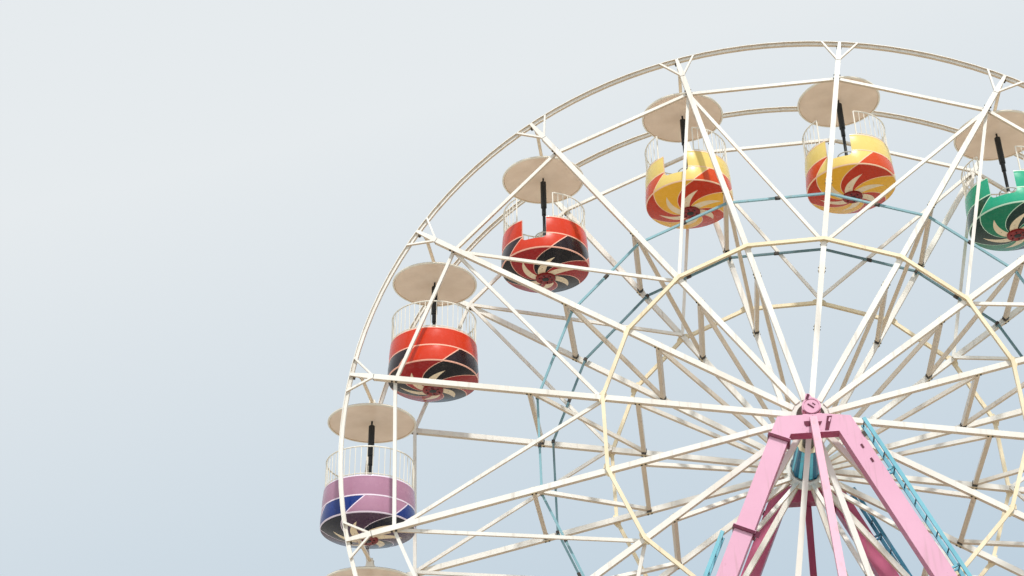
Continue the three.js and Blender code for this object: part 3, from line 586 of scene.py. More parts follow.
def tub_point(radius, angle, z):
    """A point of a cabin from its radius, its angle from the front towards +X, and its height."""
    return Vector((radius * math.sin(angle), -radius * math.cos(angle), z))


def underside_twist(radius):
    return -UNDERSIDE_TWIST * max(0.0, (TUB_BASE_RADIUS - radius) / (TUB_BASE_RADIUS - DISC_RADIUS))


def underside_z(radius):
    """Height of the dished underside at a radius inside its rounded edge."""
    share = max(0.0, (radius - DISC_RADIUS) / (DISH_RADIUS - DISC_RADIUS))
    return TUB_BOTTOM_Z + DISH_RISE * share ** DISH_POWER


def wall_radius(z):
    """Outer radius of the tub's slightly tapered wall."""
    down = (TUB_RIM_Z - z) / (TUB_RIM_Z - TUB_EDGE_Z)
    return TUB_RIM_RADIUS + (TUB_BASE_RADIUS - TUB_RIM_RADIUS) * down


def underside_rows():
    """Rows from the disc out over the dished underside and its rounded edge."""
    rows = []
    for k in range(DISH_STEPS + 1):
        radius = SKIN_START_RADIUS + (DISH_RADIUS - SKIN_START_RADIUS) * k / DISH_STEPS
        rows.append((radius, underside_z(radius), underside_twist(radius), "panels"))
    drop = TUB_EDGE_Z - underside_z(DISH_RADIUS)
    for k in range(1, EDGE_STEPS + 1):
        angle = math.pi / 2 * k / EDGE_STEPS
        radius = DISH_RADIUS + (TUB_BASE_RADIUS - DISH_RADIUS) * math.sin(angle)
        z = TUB_EDGE_Z - drop * math.cos(angle)
        rows.append((radius, z, underside_twist(radius), "line" if k > EDGE_STEPS / 2 else "panels"))
    return rows


def band_rows(z_low, z_high, twist_low, twist_high, finish):
    """Rows up a stretch of the wall that swells a little between its ends."""
    rows = []
    for k in range(1, BAND_STEPS + 1):
        share = k / BAND_STEPS
        z = z_low + (z_high - z_low) * share
        radius = wall_radius(z) + WALL_SWELL * math.sin(math.pi * share)
        rows.append((radius, z, twist_low + (twist_high - twist_low) * share, finish))
    return rows


def inside_rows():
    """Rows over the rounded lip, down the inner wall, over the bench and across the floor."""
    rows = []
    lip = TUB_WALL / 2
    for k in range(LIP_STEPS + 1):
        angle = math.pi * k / LIP_STEPS
        radius = TUB_RIM_RADIUS - lip + (lip + LIP_OVERHANG) * math.cos(angle)
        z = TUB_RIM_Z - LIP_HEIGHT + LIP_HEIGHT * math.sin(angle)
        rows.append((radius, z, BAND_TWIST, "line" if k < LIP_STEPS / 2 else "inside"))
    inner = TUB_RIM_RADIUS - TUB_WALL
    for radius, z in (
        (inner, TUB_RIM_Z - BENCH_ROUND),
        (inner, BENCH_Z + BENCH_ROUND),
        (inner - BENCH_COVE / 3, BENCH_Z + BENCH_EASE),
        (inner - BENCH_COVE, BENCH_Z),
        (BENCH_FRONT_RADIUS + BENCH_ROUND, BENCH_Z),
        (BENCH_FRONT_RADIUS + BENCH_EASE, BENCH_Z - BENCH_EASE),
        (BENCH_FRONT_RADIUS, BENCH_Z - BENCH_ROUND),
        (BENCH_FRONT_RADIUS, TUB_FLOOR_Z + FLOOR_COVE_HEIGHT),
        (BENCH_FRONT_RADIUS - FLOOR_COVE_WIDTH, TUB_FLOOR_Z),
        (POLE_RADIUS + POLE_GAP, TUB_FLOOR_Z),
    ):
        rows.append((radius, z, BAND_TWIST, "inside"))
    return rows


def tub_rows():
    """Rows of the skin from the disc out and up, then down the inside: radius, height, twist, finish."""
    line_low = TUB_LINE_Z - LINE_WIDTH / 2
    line_high = TUB_LINE_Z + LINE_WIDTH / 2
    rows = underside_rows()
    rows += band_rows(TUB_EDGE_Z, line_low, 0, BAND_TWIST, "panels")
    for z, lift in ((line_low + LINE_LIFT, LINE_LIFT), (line_high - LINE_LIFT, LINE_LIFT), (line_high, 0)):
        rows.append((wall_radius(z) + lift, z, BAND_TWIST, "line"))
    rows += band_rows(line_high, TUB_RIM_Z - 1.5 * LIP_HEIGHT, BAND_TWIST, BAND_TWIST, "light")
    return rows + inside_rows()


def tub_skin():
    """The closed skin of a tub, its columns running along the spiral panels."""
    shape = Shape()
    rows = tub_rows()
    panel = TURN / TUB_PANELS
    line = LINE_WIDTH / TUB_BASE_RADIUS
    columns = []
    for k in range(TUB_PANELS):
        start = panel * (k + 0.5)
        finish = DARK if k % 2 == 0 else LIGHT
        columns.append((start - line / 2, LINE))
        for step in range(PANEL_COLUMNS):
            columns.append((start + line / 2 + (panel - line) * step / PANEL_COLUMNS, finish))
    count = len(columns)
    shape.points = [
        tub_point(radius, angle + twist + PATTERN_PHASE, z)
        for radius, z, twist, _ in rows
        for angle, _ in columns
    ]
    row_slots = {"line": LINE, "light": LIGHT, "inside": INSIDE}
    for row in range(1, len(rows)):
        finish = rows[row][3]
        low, high = (row - 1) * count, row * count
        for k, (_, column_slot) in enumerate(columns):
            after = (k + 1) % count
            shape.faces.append((low + k, low + after, high + after, high + k))
            shape.slots.append(column_slot if finish == "panels" else row_slots[finish])
    bottom, top = 0, (len(rows) - 1) * count
    for k in range(count):
        after = (k + 1) % count
        shape.faces.append((top + k, top + after, bottom + after, bottom + k))
        shape.slots.append(INSIDE)
    return shape


def doorway_cutter():
    """A prism through the tub's wall with rounded lower corners, and the step down behind the sill."""
    half = DOOR_WIDTH / 2
    corner_z = DOOR_SILL_Z + DOOR_CORNER
    outline = []
    for centre, first in ((-half + DOOR_CORNER, math.pi), (half - DOOR_CORNER, 1.5 * math.pi)):
        for k in range(CORNER_STEPS + 1):
            angle = first + math.pi / 2 * k / CORNER_STEPS
            outline.append((centre + DOOR_CORNER * math.cos(angle), corner_z + DOOR_CORNER * math.sin(angle)))
    outline += [(half, TUB_RIM_Z + CUT_MARGIN), (-half, TUB_RIM_Z + CUT_MARGIN)]
    through = Shape()
    reach = TUB_BASE_RADIUS + CUT_MARGIN - STEP_INNER_RADIUS
    through.slab(outline, (0, -STEP_INNER_RADIUS - reach / 2, 0), X_AXIS, Z_AXIS, reach, LINE)
    step = Shape()
    tread = [(-half, DOOR_STEP_Z), (half, DOOR_STEP_Z), (half, corner_z), (-half, corner_z)]
    depth = STEP_OUTER_RADIUS - STEP_INNER_RADIUS + 0.002
    step.slab(tread, (0, -STEP_OUTER_RADIUS + depth / 2, 0), X_AXIS, Z_AXIS, depth, INSIDE)
    return through, step


def with_doorway(skin_mesh, materials):
    """The skin with its doorway cut out."""
    skin = linked("skin", skin_mesh)
    cutters = [linked("cutter", shape.mesh("cutter", materials)) for shape in doorway_cutter()]
    for cutter in cutters:
        cut = skin.modifiers.new("doorway", "BOOLEAN")
        cut.operation = "DIFFERENCE"
        cut.solver = "EXACT"
        cut.object = cutter
    graph = bpy.context.evaluated_depsgraph_get()
    made = bpy.data.meshes.new_from_object(skin.evaluated_get(graph))
    for thing in (skin, *cutters):
        bpy.data.objects.remove(thing)
    made.set_sharp_from_angle(angle=SHARP_ANGLE)
    return made


def petals(shape):
    """One flame-shaped petal along the middle of each panel of the underside."""
    steps = 16
    seat, thickness = 0.002, 0.004
    swell = 0.1
    root = DISC_RADIUS * 0.85
    for k in range(TUB_PANELS):
        middle_start = TURN / TUB_PANELS * (k + 1) + PATTERN_PHASE
        points, faces = [], []
        for step in range(steps + 1):
            share = step / steps
            radius = root + (PETAL_TIP_RADIUS - root) * share
            middle = middle_start + underside_twist(radius)
            width = PETAL_HALF_WIDTH * (1 - swell + swell * math.sin(math.pi * share)) * (1 - share ** 3)
            for side, sink in ((-1, 0), (-1, thickness), (1, thickness), (1, 0)):
                z = underside_z(radius) + seat - sink
                points.append(tub_point(radius, middle + side * width / radius, z))
        for step in range(steps):
            here = 4 * step
            for side in range(3):
                faces.append((here + side, here + side + 1, here + side + 5, here + side + 4))
        shape.add(points, faces, PETAL)


def disc(shape):
    """The red disc with a black centre under the tub, and its bolts."""
    top = underside_z(FLANGE_RADIUS)
    low = top - FLANGE_THICKNESS
    edge = 0.006
    shape.turned([[DISC_RADIUS, top], [DISC_RADIUS, low + edge], [DISC_RADIUS - 0.008, low],
                  [DISC_CENTRE_RADIUS, low]], steps=40, upright=True, slot=DISC)
    shape.turned([[DISC_CENTRE_RADIUS, low], [DISC_CENTRE_RADIUS, low - 0.004],
                  [DISC_CENTRE_RADIUS - 0.02, low - edge], [0, low - edge]],
                 steps=24, upright=True, slot=CENTRE)
    for k in range(DISC_BOLTS):
        shape.bolt(tub_point(DISC_BOLT_CIRCLE, TURN * k / DISC_BOLTS, low), -Z_AXIS, DISC_BOLT, CENTRE)


def railing():
    """The round guard rail above the rim: two posts at the doorway, a top ring, a wire and thin bars."""
    shape = Shape()
    radius = TUB_RIM_RADIUS - TUB_WALL / 2
    top = TUB_RIM_Z + RAIL_HEIGHT - RAIL_SIZE / 2
    gap = math.asin((GATE_WIDTH / 2 + RAIL_SIZE / 2) / radius)
    span = TURN - 2 * gap
    ring, wire = section_round(RAIL_SIZE / 2, 8), section_round(RAIL_WIRE_RADIUS, 6)
    for section, z in ((ring, top), (wire, TUB_RIM_Z + RAIL_WIRE_HEIGHT)):
        shape.hoop(section, radius, (0, 0, z), RAIL_STEPS, gap, span, upright=True)
    for k in range(RAIL_BARS + 1):
        angle = gap + span * k / RAIL_BARS
        post = k in (0, RAIL_BARS)
        size = RAIL_SIZE / 2 if post else RAIL_BAR_RADIUS
        low = TUB_RIM_Z - (RAIL_POST_ROOT if post else RAIL_BAR_ROOT)
        shape.rod(tub_point(radius, angle, low), tub_point(radius, angle, top), size, 8 if post else 6)
    return shape


def hand_wheel():
    """The ring that riders hold to spin the tub, on three arms from a boss round the pole."""
    shape = Shape()
    z = TUB_RIM_Z + HAND_WHEEL_HEIGHT
    shape.hoop(section_round(HAND_WHEEL_TUBE, 10), HAND_WHEEL_RADIUS, (0, 0, z), 40, upright=True)
    bends = ((0.035, -0.05), (0.1, -0.03), (HAND_WHEEL_RADIUS, 0))
    for k in range(3):
        angle = TURN * (k + 0.5) / 3
        places = [tub_point(radius, angle, z + rise) for radius, rise in bends]
        shape.run(section_round(HAND_WHEEL_ARM, 8), places)
    bore, low = POLE_RADIUS + 0.001, z - 0.12
    shape.turned([[bore, low], [HAND_WHEEL_BOSS, low], [HAND_WHEEL_BOSS, z - 0.02],
                  [HAND_WHEEL_BOSS - 0.01, z], [bore, z], [bore, low]], steps=24, upright=True)
    return shape


def arch(radius, low, rise):
    """Points from the middle out to a radius, along one shallow curve."""
    curve = [(k / ROOF_STEPS, 1 - (k / ROOF_STEPS) ** ROOF_CURVE) for k in range(ROOF_STEPS + 1)]
    return [[radius * share, low + rise * height] for share, height in curve]


def roof():
    """The shallow dished roof: a thin shell with a rolled edge and a dark seam round it."""
    shape = Shape()
    low = ROOF_EDGE_Z
    high = ROOF_EDGE_Z + ROOF_EDGE_THICKNESS
    outside = arch(ROOF_RADIUS, high, ROOF_RISE)
    rolled = [(0, 0.012), (0.006, 0.004), (0.016, 0), (0.03, 0), (0.036, 0.006), (0.045, 0.016)]
    edge = [[ROOF_RADIUS - inset, low + rise] for inset, rise in rolled]
    hollow_radius, hollow_low = edge[-1]
    ceiling = arch(hollow_radius, hollow_low, low + ROOF_HOLLOW - hollow_low)
    ceiling.reverse()
    # The brown of slot 3, on the inner face of the lip, is painted shade
    for profile, slot in ((outside, 1), ([outside[-1]] + edge[:-1], 1), (edge[-2:], 3), (ceiling, 0)):
        shape.turned(profile, steps=ROOF_SIDES, upright=True, slot=slot)
    seam = section_square(0.02, 0.012, 0.003)
    shape.hoop(seam, ROOF_RADIUS - 0.012, (0, 0, high), ROOF_SIDES, upright=True, slot=2)
    return shape


def hanger():
    """Cabin axle with its collars, the flared hanger, and the black pole with its thicker sleeve."""
    shape = Shape()
    axle_half = WHEEL_HALF_DEPTH + SPOKE_SIZE / 2 - FORK_DEPTH - SEAM
    shape.turned(solid_profile(CABIN_PIN_RADIUS, -axle_half, axle_half), steps=20)
    collar = solid_profile(AXLE_COLLAR_RADIUS, -0.02, 0.02)
    for sign in (-1, 1):
        shape.turned(collar, (0, sign * (axle_half - 0.03), 0), steps=20)
    base = ROOF_EDGE_Z + ROOF_EDGE_THICKNESS + ROOF_RISE - 0.022
    foot_top = base + 0.03
    foot, neck = HANGER_FOOT / 2, HANGER_WIDTH / 2
    right = [(foot, base), (foot, foot_top), (neck + 0.01, HANGER_WAIST_Z), (neck, -0.03), (neck, HANGER_TOP)]
    outline = [(-foot, base)] + right + [(-x, z) for x, z in reversed(right[1:])]
    for sign in (-1, 1):
        shape.slab(outline, (0, sign * (HANGER_DEPTH - HANGER_PLATE) / 2, 0), X_AXIS, Z_AXIS, HANGER_PLATE)
        rib_foot = (sign * (foot - 0.012), 0, base + 0.01)
        shape.bar(rib_foot, (sign * (neck - 0.004), 0, HANGER_WAIST_Z + 0.01), 0.01, HANGER_DEPTH - 0.02)
    shape.bar((0, 0, base + 0.05), (0, 0, 0.02), HANGER_WIDTH - 0.03, HANGER_DEPTH - 2 * HANGER_PLATE)
    for x in (-HANGER_BOLT_X, HANGER_BOLT_X):
        for sign in (-1, 1):
            shape.bolt((x, sign * HANGER_DEPTH / 2, foot_top), Y_AXIS * sign, HANGER_BOLT, 2)
    ceiling = ROOF_EDGE_Z + ROOF_HOLLOW + 0.004
    flange_low = TUB_BOTTOM_Z - FLANGE_THICKNESS
    ease = 0.01
    shape.turned([[0, ceiling], [NECK_RADIUS, ceiling], [NECK_RADIUS, SLEEVE_TIP_Z],
                  [SLEEVE_RADIUS, SLEEVE_SHOULDER_Z], [SLEEVE_RADIUS, SLEEVE_BOTTOM_Z + ease],
                  [SLEEVE_RADIUS - ease, SLEEVE_BOTTOM_Z], [COLLAR_RADIUS, SLEEVE_BOTTOM_Z],
                  [COLLAR_RADIUS, COLLAR_BOTTOM_Z], [POLE_RADIUS, COLLAR_BOTTOM_Z],
                  [POLE_RADIUS, flange_low], [0, flange_low]],
                 steps=28, upright=True, slot=1)
    return shape


def build_cabins():
    """Sixteen cabins from one set of pieces, neighbours two by two in the same colour."""
    tubs = {}
    skin = tub_skin()
    petals(skin)
    disc(skin)
    for name in TUB_ORDER:
        materials = tub_materials(name)
        tubs[name] = with_doorway(skin.mesh(f"tub_{name}", materials), materials)
    rail_mesh = railing().mesh("railing", [rail_white])
    wheel_mesh = hand_wheel().mesh("hand_wheel", [wheel_paint])
    roof_mesh = roof().mesh("roof", [roof_tan, roof_edge, dark_fitting, roof_lip_shade])
    hanger_mesh = hanger().mesh("hanger", [white_steel, pole_paint, dark_fitting])
    for index, angle in enumerate(SPOKE_ANGLES):
        body = f"cabin_{index + 1:02d}"
        place = wheel_point(CABIN_AXLE_RADIUS, angle, 0)
        turn = math.radians(DOOR_TURNS[index])
        pair = ((index + 1) % CABIN_COUNT) // 2
        colour = TUB_ORDER[pair % len(TUB_ORDER)]
        place_piece(f"{body}_shell", tubs[colour], body, [f"{body}_tub"], place, turn)
        place_piece(f"{body}_railing", rail_mesh, body, [], place, turn)
        place_piece(f"{body}_hand_wheel", wheel_mesh, body, [], place, turn)
        place_piece(f"{body}_roof", roof_mesh, body, [f"{body}_canopy"], place)
        place_piece(f"{body}_hanger", hanger_mesh, body, [], place)


# Wheel

def finish_node(name, material, edge=0.006):
    """A model piece that stays in sight, with its paint and eased edges."""
    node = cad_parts[name]
    node.data.materials.clear()
    node.data.materials.append(material)
    bevel = node.modifiers.new("eased_edges", "BEVEL")
    bevel.width = edge
    bevel.segments = 1
    bevel.limit_method = "ANGLE"
    bevel.angle_limit = math.radians(50)


def wheel_point(radius, angle, y):
    return Vector((radius * math.sin(angle), y, HUB_HEIGHT + radius * math.cos(angle)))


def fork_outline():
    """Outline of a fork with three arms, along the rim and outwards from the spoke's end."""

    def reach(along):
        return math.sqrt((STRIP_INNER_RADIUS + 0.004) ** 2 - along ** 2) - SPOKE_END_RADIUS

    half = SPOKE_SIZE / 2
    inner, outer = FORK_SPREAD - FORK_ARM / 2, FORK_SPREAD + FORK_ARM / 2
    right = [(half, 0.004), (half, FORK_ROOT), (outer, reach(outer)), (inner, reach(inner)),
             (half, FORK_CROTCH), (FORK_NECK / 2, reach(FORK_NECK / 2))]
    return right + [(-a, b) for a, b in reversed(right)]


def rim(side):
    """The rolled strip with its tube, and at each spoke a fork, a dark joint line and a dark block."""
    shape = Shape()
    tube, strip = RIM_TUBE_WIDTH / 2, STRIP_WIDTH / 2
    section = [(RIM_TUBE_RADIUS, -tube), (STRIP_INNER_RADIUS, -tube),
               (STRIP_INNER_RADIUS, -strip), (STRIP_OUTER_RADIUS, -strip)]
    section += [(radius, -width) for radius, width in reversed(section)]
    shape.hoop(section, 0, (0, side * (WHEEL_HALF_DEPTH - RIM_SETBACK), HUB_HEIGHT), RIM_STEPS)
    fork_y = side * (WHEEL_HALF_DEPTH + SPOKE_SIZE / 2 - FORK_DEPTH / 2)
    block_y = side * (WHEEL_HALF_DEPTH - BLOCK_SETBACK)
    outline = fork_outline()
    for angle in SPOKE_ANGLES:
        out = outwards(angle)
        shape.slab(outline, wheel_point(SPOKE_END_RADIUS, angle, fork_y), onwards(angle), out, FORK_DEPTH)
        joint = wheel_point(SPOKE_END_RADIUS, angle, side * WHEEL_HALF_DEPTH)
        shape.sleeve(joint, out, JOINT_LINE, SPOKE_SIZE + 0.004)
        block = wheel_point(STRIP_INNER_RADIUS, angle, block_y)
        shape.bar(block - out * BLOCK_DEPTH, block, BLOCK_WIDTH, BLOCK_DEPTH, slot=2)
    return shape


def wheel_fittings(side):
    """Plates, bolts and clamps where rings, cross tubes and hoops meet the spokes."""
    shape = Shape()
    plane = side * WHEEL_HALF_DEPTH
    outer = plane + side * SPOKE_SIZE / 2
    hoop_radius, hoop_y = HOOPS[side]
    apothem = hoop_radius * math.cos(math.pi / CABIN_COUNT)
    for angle in SPOKE_ANGLES:
        out, along = outwards(angle), onwards(angle)
        for sign in (-1, 1):
            spot = wheel_point(MIDDLE_RING_RADIUS, angle, outer + side * PLATE / 2)
            shape.slab([(sign * a, b) for a, b in GUSSET], spot, along, out, PLATE)
        for radius in (OUTER_TIE_RADIUS, INNER_TIE_RADIUS):
            for sign in (-1, 1):
                spot = wheel_point(radius, angle, plane) + along * sign * (SPOKE_SIZE / 2 + PLATE / 2)
                shape.slab(TIE_PLATE, spot, Y_AXIS, out, PLATE)
                for shift in (-TIE_BOLT_SHIFT, TIE_BOLT_SHIFT):
                    shape.bolt(spot + out * shift + along * sign * (PLATE / 2), along * sign, TIE_BOLT, 1)
            if side > 0:
                end = wheel_point(radius, angle, plane - SPOKE_SIZE / 2 - 0.05)
                shape.sleeve(end, Y_AXIS, TRUSS_SLEEVE_HALF, TRUSS_SLEEVE_SIZE, along)
        for sign in (-1, 1):
            for shift in (-CHORD_BOLT_SHIFT, CHORD_BOLT_SHIFT):
                spot = wheel_point(CHORD_RING_RADIUS + shift, angle, plane) + along * sign * SPOKE_SIZE / 2
                shape.bolt(spot, along * sign, CHORD_BOLT, 1)
        shape.sleeve(wheel_point(hoop_radius, angle, hoop_y), along, HOOP_CLAMP_HALF, HOOP_CLAMP_SIZE)
        half_way = angle + math.pi / CABIN_COUNT
        splice = wheel_point(apothem, half_way, hoop_y)
        shape.sleeve(splice, onwards(half_way), HOOP_SPLICE_HALF, HOOP_SPLICE_SIZE)
    # A dark brown ring on the hub face: painted shade between the spokes' inner ends
    hub_face = outer + side * HUB_RING_THICKNESS
    shape.turned([[HUB_RING_INNER, outer], [HUB_RING_OUTER, outer], [HUB_RING_OUTER, hub_face],
                  [HUB_RING_INNER, hub_face], [HUB_RING_INNER, outer]], (0, 0, HUB_HEIGHT), 48, slot=2)
    return shape


def axle_dress():
    """The shaft, and the eight-sided tapered drum with a bright stripe along each face."""
    shape = Shape()
    centre = (0, 0, HUB_HEIGHT)
    shape.turned(solid_profile(SHAFT_RADIUS, -SHAFT_END_Y, SHAFT_END_Y), centre, 32, slot=2)
    barrel = [[DRUM_FRONT_RADIUS, DRUM_FRONT_Y], [DRUM_REAR_RADIUS, DRUM_REAR_Y], [0, DRUM_REAR_Y]]
    front = [[0, DRUM_FRONT_Y], [DRUM_FRONT_RADIUS, DRUM_FRONT_Y]]
    shape.turned(barrel, centre, DRUM_SIDES, first=FIRST_ANGLE)
    shape.turned(front, centre, DRUM_SIDES, slot=3, first=FIRST_ANGLE)
    flat = math.cos(math.pi / DRUM_SIDES)
    lift = 0.001
    for k in range(DRUM_SIDES):
        angle = FIRST_ANGLE + TURN * (k + 0.5) / DRUM_SIDES
        start = wheel_point(DRUM_FRONT_RADIUS * flat + lift, angle, DRUM_FRONT_Y + 0.01)
        end = wheel_point(DRUM_REAR_RADIUS * flat + lift, angle, DRUM_REAR_Y - 0.03)
        shape.bar(start, end, STRIPE_THICKNESS, STRIPE_WIDTH, onwards(angle), 1, 0.001)
    return shape


def build_wheel():
    rim_finishes = [white_steel, dark_fitting, block_rubber]
    fitting_finishes = [cream_steel, dark_fitting, hub_shade_brown]
    drum_finishes = [drum_paint, stripe_paint, dark_fitting, cream_steel]
    for name, side, drive_paint in (("front", -1, front_drive_paint), ("rear", 1, rear_drive_paint)):
        finish_node(f"{name}_spokes", white_steel)
        finish_node(f"{name}_bracing", white_steel)
        finish_node(f"{name}_middle_ring", cream_steel)
        finish_node(f"{name}_drive_ring", drive_paint, 0.004)
        ring = rim(side).mesh(f"{name}_rim", rim_finishes)
        fittings = wheel_fittings(side).mesh(f"{name}_fittings", fitting_finishes)
        place_piece(f"{name}_rim_ring", ring, "wheel", [f"{name}_rim"])
        place_piece(f"{name}_fittings", fittings, "wheel")
    finish_node("cross_truss", white_steel)
    drum = axle_dress().mesh("striped_drum", drum_finishes)
    place_piece("striped_drum", drum, "wheel", ["axle"])


# Towers

TOWER_FACE_Y = 1.628
TOWER_DEPTH = 0.25
LEG_LEAN = math.tan(math.radians(24.2))
LEG_WIDTH = 0.325
LEG_AXIS_OFFSET = 0.349
LEG_HALF_LEVEL = LEG_WIDTH / 2 / math.cos(math.atan(LEG_LEAN))
STUB_BOTTOM = HUB_HEIGHT - 0.595
LEG_JOINT_HEIGHT = HUB_HEIGHT - 2.25
FLANGE_SHADE_LIP = 0.037  # of the dark maroon bands round the bolted flanges: painted shade under the flanges
FLANGE_SHADE_RISE = 0.014
FLANGE_SHADE_DROP = 0.036
BEARING_FACE_Y = 1.563
BEARING_RADIUS = 0.168
SILL_HEIGHT = 0.3
LADDER_TOP = HUB_HEIGHT - 0.4
LOW_LADDER_TOP = LEG_JOINT_HEIGHT - 0.09
LADDER_BOTTOM = SILL_HEIGHT + 0.35
LADDER_WIDTH = 0.3
LADDER_RAIL_WIDTH = 0.07
LADDER_RAIL_DEPTH = 0.02
LADDER_RUNG = 0.026
LADDER_FIRST_RUNG = 0.03
LADDER_RUNG_STEP = 0.3
LADDER_STANDOFF = 0.162
LADDER_BRACKET_WIDTH = 0.04
LADDER_BRACKET_DEPTH = 0.03
LADDER_BRACKET_INSET = 0.02
RUNGS_PER_BRACKET = 6


def slanted(x, z, length, width, degrees):
    """Outline of a rectangle round a middle, turned up from level."""
    turn = math.radians(degrees)
    u, v = (math.cos(turn), math.sin(turn)), (-math.sin(turn), math.cos(turn))
    outline = []
    for a, b in CORNERS:
        outline.append((x + a * length / 2 * u[0] + b * width / 2 * v[0],
                        z + a * length / 2 * u[1] + b * width / 2 * v[1]))
    return outline


# Plates on a tower's head and legs: outline in X and height from the axle, lift from the face, material
HEAD_PLATES = (
    # Painted shadow beside the top of the strut
    (((-0.165, -0.326), (-0.165, -0.385), (-0.135, -0.421), (-0.07, -0.421), (-0.07, -0.326)), 0, 0),
    (((0.074, -0.345), (0.098, -0.432), (0.142, -0.345)), 0, 0),
    (slanted(-0.003, -0.25, 0.04, 0.04, 45), 0.002, 0),
    (((0.239, -0.25), (0.175, -0.515), (0.243, -0.515), (0.324, -0.25)), 0, 0),
    (slanted(0.276, -0.319, 0.08, 0.03, 68), 0.004, 1),
    (slanted(0.77, -0.86, 0.08, 0.035, 115), 0, 0),
    (slanted(0.9, -1.13, 0.08, 0.035, 115), 0, 0),
    (slanted(0.835, -0.631, 0.1, 0.06, 115), 0, 2),
    (slanted(-1.161, -2.364, 0.11, 0.1, 65), 0, 0),
)
BEARING_PLATES = (
    slanted(-0.01, 0.0, 0.13, 0.022, -40),
    slanted(0.045, 0.035, 0.06, 0.014, -40),
    slanted(-0.049, 0.177, 0.11, 0.045, 68),
)


def leg_axis_x(z):
    return LEG_AXIS_OFFSET + (HUB_HEIGHT - z) * LEG_LEAN


def ladder(side, tower, z_top):
    """A ladder up the outer side of a leg, with every rung and its brackets."""
    shape = Shape()
    centre_y = tower * (TOWER_FACE_Y - TOWER_DEPTH / 2)
    lean = math.atan(LEG_LEAN)
    outward = Vector((side * math.cos(lean), 0, math.sin(lean)))

    def face_at(z, y):
        return Vector((side * (leg_axis_x(z) + LEG_HALF_LEVEL), y, z))

    def line_at(z, y):
        return face_at(z, y) + outward * LADDER_STANDOFF

    rails = (centre_y - LADDER_WIDTH / 2, centre_y + LADDER_WIDTH / 2)
    brackets = (centre_y - TOWER_DEPTH / 2 + LADDER_BRACKET_INSET,
                centre_y + TOWER_DEPTH / 2 - LADDER_BRACKET_INSET)
    for y in rails:
        shape.bar(line_at(z_top, y), line_at(LADDER_BOTTOM, y), LADDER_RAIL_WIDTH, LADDER_RAIL_DEPTH)
    rungs = int((z_top - LADDER_FIRST_RUNG - LADDER_BOTTOM) / LADDER_RUNG_STEP) + 1
    for k in range(rungs):
        z = z_top - LADDER_FIRST_RUNG - k * LADDER_RUNG_STEP
        shape.rod(line_at(z, rails[0]), line_at(z, rails[1]), LADDER_RUNG / 2, 10, 1)
        if k % RUNGS_PER_BRACKET == RUNGS_PER_BRACKET // 2:
            for y in brackets:
                shape.bar(face_at(z, y), line_at(z, y), LADDER_BRACKET_WIDTH, LADDER_BRACKET_DEPTH)
    return shape


def head_details():
    """Small fittings on the outer face of a tower's head, its bearing and its legs, and painted shade in dark
    maroon.
    """
    shape = Shape()
    thickness, sink = 0.012, 0.002

    def lay(outline, y, slot=0):
        shape.slab(outline, (0, -y - thickness / 2 + sink, HUB_HEIGHT), X_AXIS, Z_AXIS, thickness, slot)

    for outline, lift, slot in HEAD_PLATES:
        lay(outline, TOWER_FACE_Y + lift, slot)
    middle_y = -TOWER_FACE_Y + TOWER_DEPTH / 2
    # Dark maroon bands round the bolted flanges: painted shade under the flanges
    for joint_z in (STUB_BOTTOM, LEG_JOINT_HEIGHT):
        ends = [(-leg_axis_x(z), middle_y, z) for z in (joint_z + FLANGE_SHADE_RISE, joint_z - FLANGE_SHADE_DROP)]
        shape.bar(*ends, LEG_WIDTH + 2 * FLANGE_SHADE_LIP, TOWER_DEPTH + 2 * FLANGE_SHADE_LIP)
    centre = (0, -BEARING_FACE_Y - 0.003, HUB_HEIGHT)
    shape.hoop(section_square(0.012, 0.012, 0.003), BEARING_RADIUS - 0.03, centre, 40, slot=1)
    # A dark maroon arc under the bearing: painted shadow in the gap between the bearing and its seat
    first, span = math.radians(115), math.radians(130)
    shape.hoop(section_square(0.014, 0.01, 0.003), BEARING_RADIUS - 0.006, centre, 20, first, span)
    for outline in BEARING_PLATES:
        lay(outline, BEARING_FACE_Y)
    return shape


def build_towers():
    for name, pink, turn in (("front", pink_steel, 0), ("rear", shaded_pink, math.pi)):
        for part in ("tower_head", "bearing", "left_leg", "right_leg"):
            finish_node(f"{name}_{part}", pink, 0.01)
        finish_node(f"{name}_strut", strut_shade_pink if name == "front" else pink, 0.01)
        finish_node(f"{name}_sill", base_paint, 0.012)
        details = head_details().mesh(f"{name}_head_details", [maroon_steel, pink, dark_fitting])
        place_piece(f"{name}_head_fittings_and_shade", details, "towers", turn=turn)
    finish_node("tie_beam", base_paint, 0.012)
    for name, side, tower, z_top in (
        ("front_right_ladder", 1, -1, LADDER_TOP),
        ("front_left_ladder", -1, -1, LOW_LADDER_TOP),
        ("rear_right_ladder", 1, 1, LADDER_TOP),
    ):
        finishes = [ladder_paint if tower < 0 else shaded_ladder_paint, rung_shade_paint]
        rungs = ladder(side, tower, z_top).mesh(name, finishes)
        place_piece(f"{name}_rungs", rungs, "towers", [name])


# Floor, light and camera

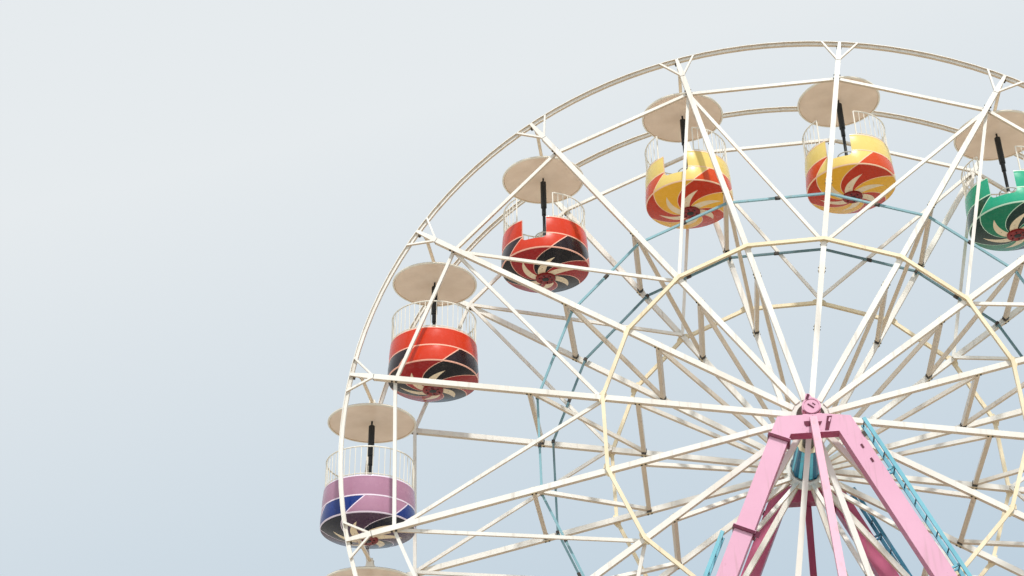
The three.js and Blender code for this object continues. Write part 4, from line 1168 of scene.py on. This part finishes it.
FLOOR_SIZE = 1600
FLOOR_DROP = 0.002
PALE_SKY_DIRECTION = (-0.187, -0.519, 0.814)  # the sky is palest towards here
SKY_SPREAD = (-0.25, 0.12)  # cosines to that direction where the blue ends and the pale begins
SKY_BLUE = "bed0de"
SKY_PALE = "e6ebee"
SUN_STRENGTH = 3.2
SUN_WIDTH = math.radians(4)
SUN_COLOUR = (1.0, 0.97, 0.92)
SUN_DIRECTION = (0.33, -1.0, 1.45)  # from the ground towards the light
FAR_LIMIT = 2000


def build_stage():
    floor = Shape()
    half = FLOOR_SIZE / 2
    floor.add([(x * half, y * half, -FLOOR_DROP) for x, y in CORNERS], [(0, 1, 2, 3)])
    piece = linked("floor", floor.mesh("floor", [floor_finish()]))

    world = bpy.data.worlds.new("studio")
    world.use_nodes = True
    tree = world.node_tree
    background = tree.nodes["Background"]
    heading = tree.nodes.new("ShaderNodeVectorMath")
    heading.operation = "DOT_PRODUCT"
    heading.inputs[1].default_value = PALE_SKY_DIRECTION
    tree.links.new(tree.nodes.new("ShaderNodeTexCoord").outputs["Generated"], heading.inputs[0])
    share = tree.nodes.new("ShaderNodeMapRange")
    share.inputs["From Min"].default_value = SKY_SPREAD[0]
    share.inputs["From Max"].default_value = SKY_SPREAD[1]
    tree.links.new(heading.outputs["Value"], share.inputs["Value"])
    sky = tree.nodes.new("ShaderNodeMix")
    sky.data_type = "RGBA"
    sky.inputs[6].default_value = linear(SKY_BLUE)
    sky.inputs[7].default_value = linear(SKY_PALE)
    tree.links.new(share.outputs["Result"], sky.inputs[0])
    tree.links.new(sky.outputs[2], background.inputs["Color"])
    bpy.context.scene.world = world

    sun_data = bpy.data.lights.new("key_light", "SUN")
    sun_data.energy = SUN_STRENGTH
    sun_data.angle = SUN_WIDTH
    sun_data.color = SUN_COLOUR
    sun = linked("key_light", sun_data)
    sun.rotation_mode = "QUATERNION"
    sun.rotation_quaternion = Vector(SUN_DIRECTION).to_track_quat("Z", "Y")


def build_camera():
    data = bpy.data.cameras.new("camera")
    data.lens = CAMERA_LENS
    data.sensor_width = CAMERA_SENSOR
    data.clip_end = FAR_LIMIT
    camera = linked("camera", data)
    camera.location = CAMERA_PLACE
    camera.rotation_euler = [math.radians(a) for a in CAMERA_ANGLES]
    bpy.context.scene.camera = camera


build_camera()
build_cabins()
build_wheel()
build_towers()
build_stage()
bpy.context.scene.view_settings.view_transform = "Standard"
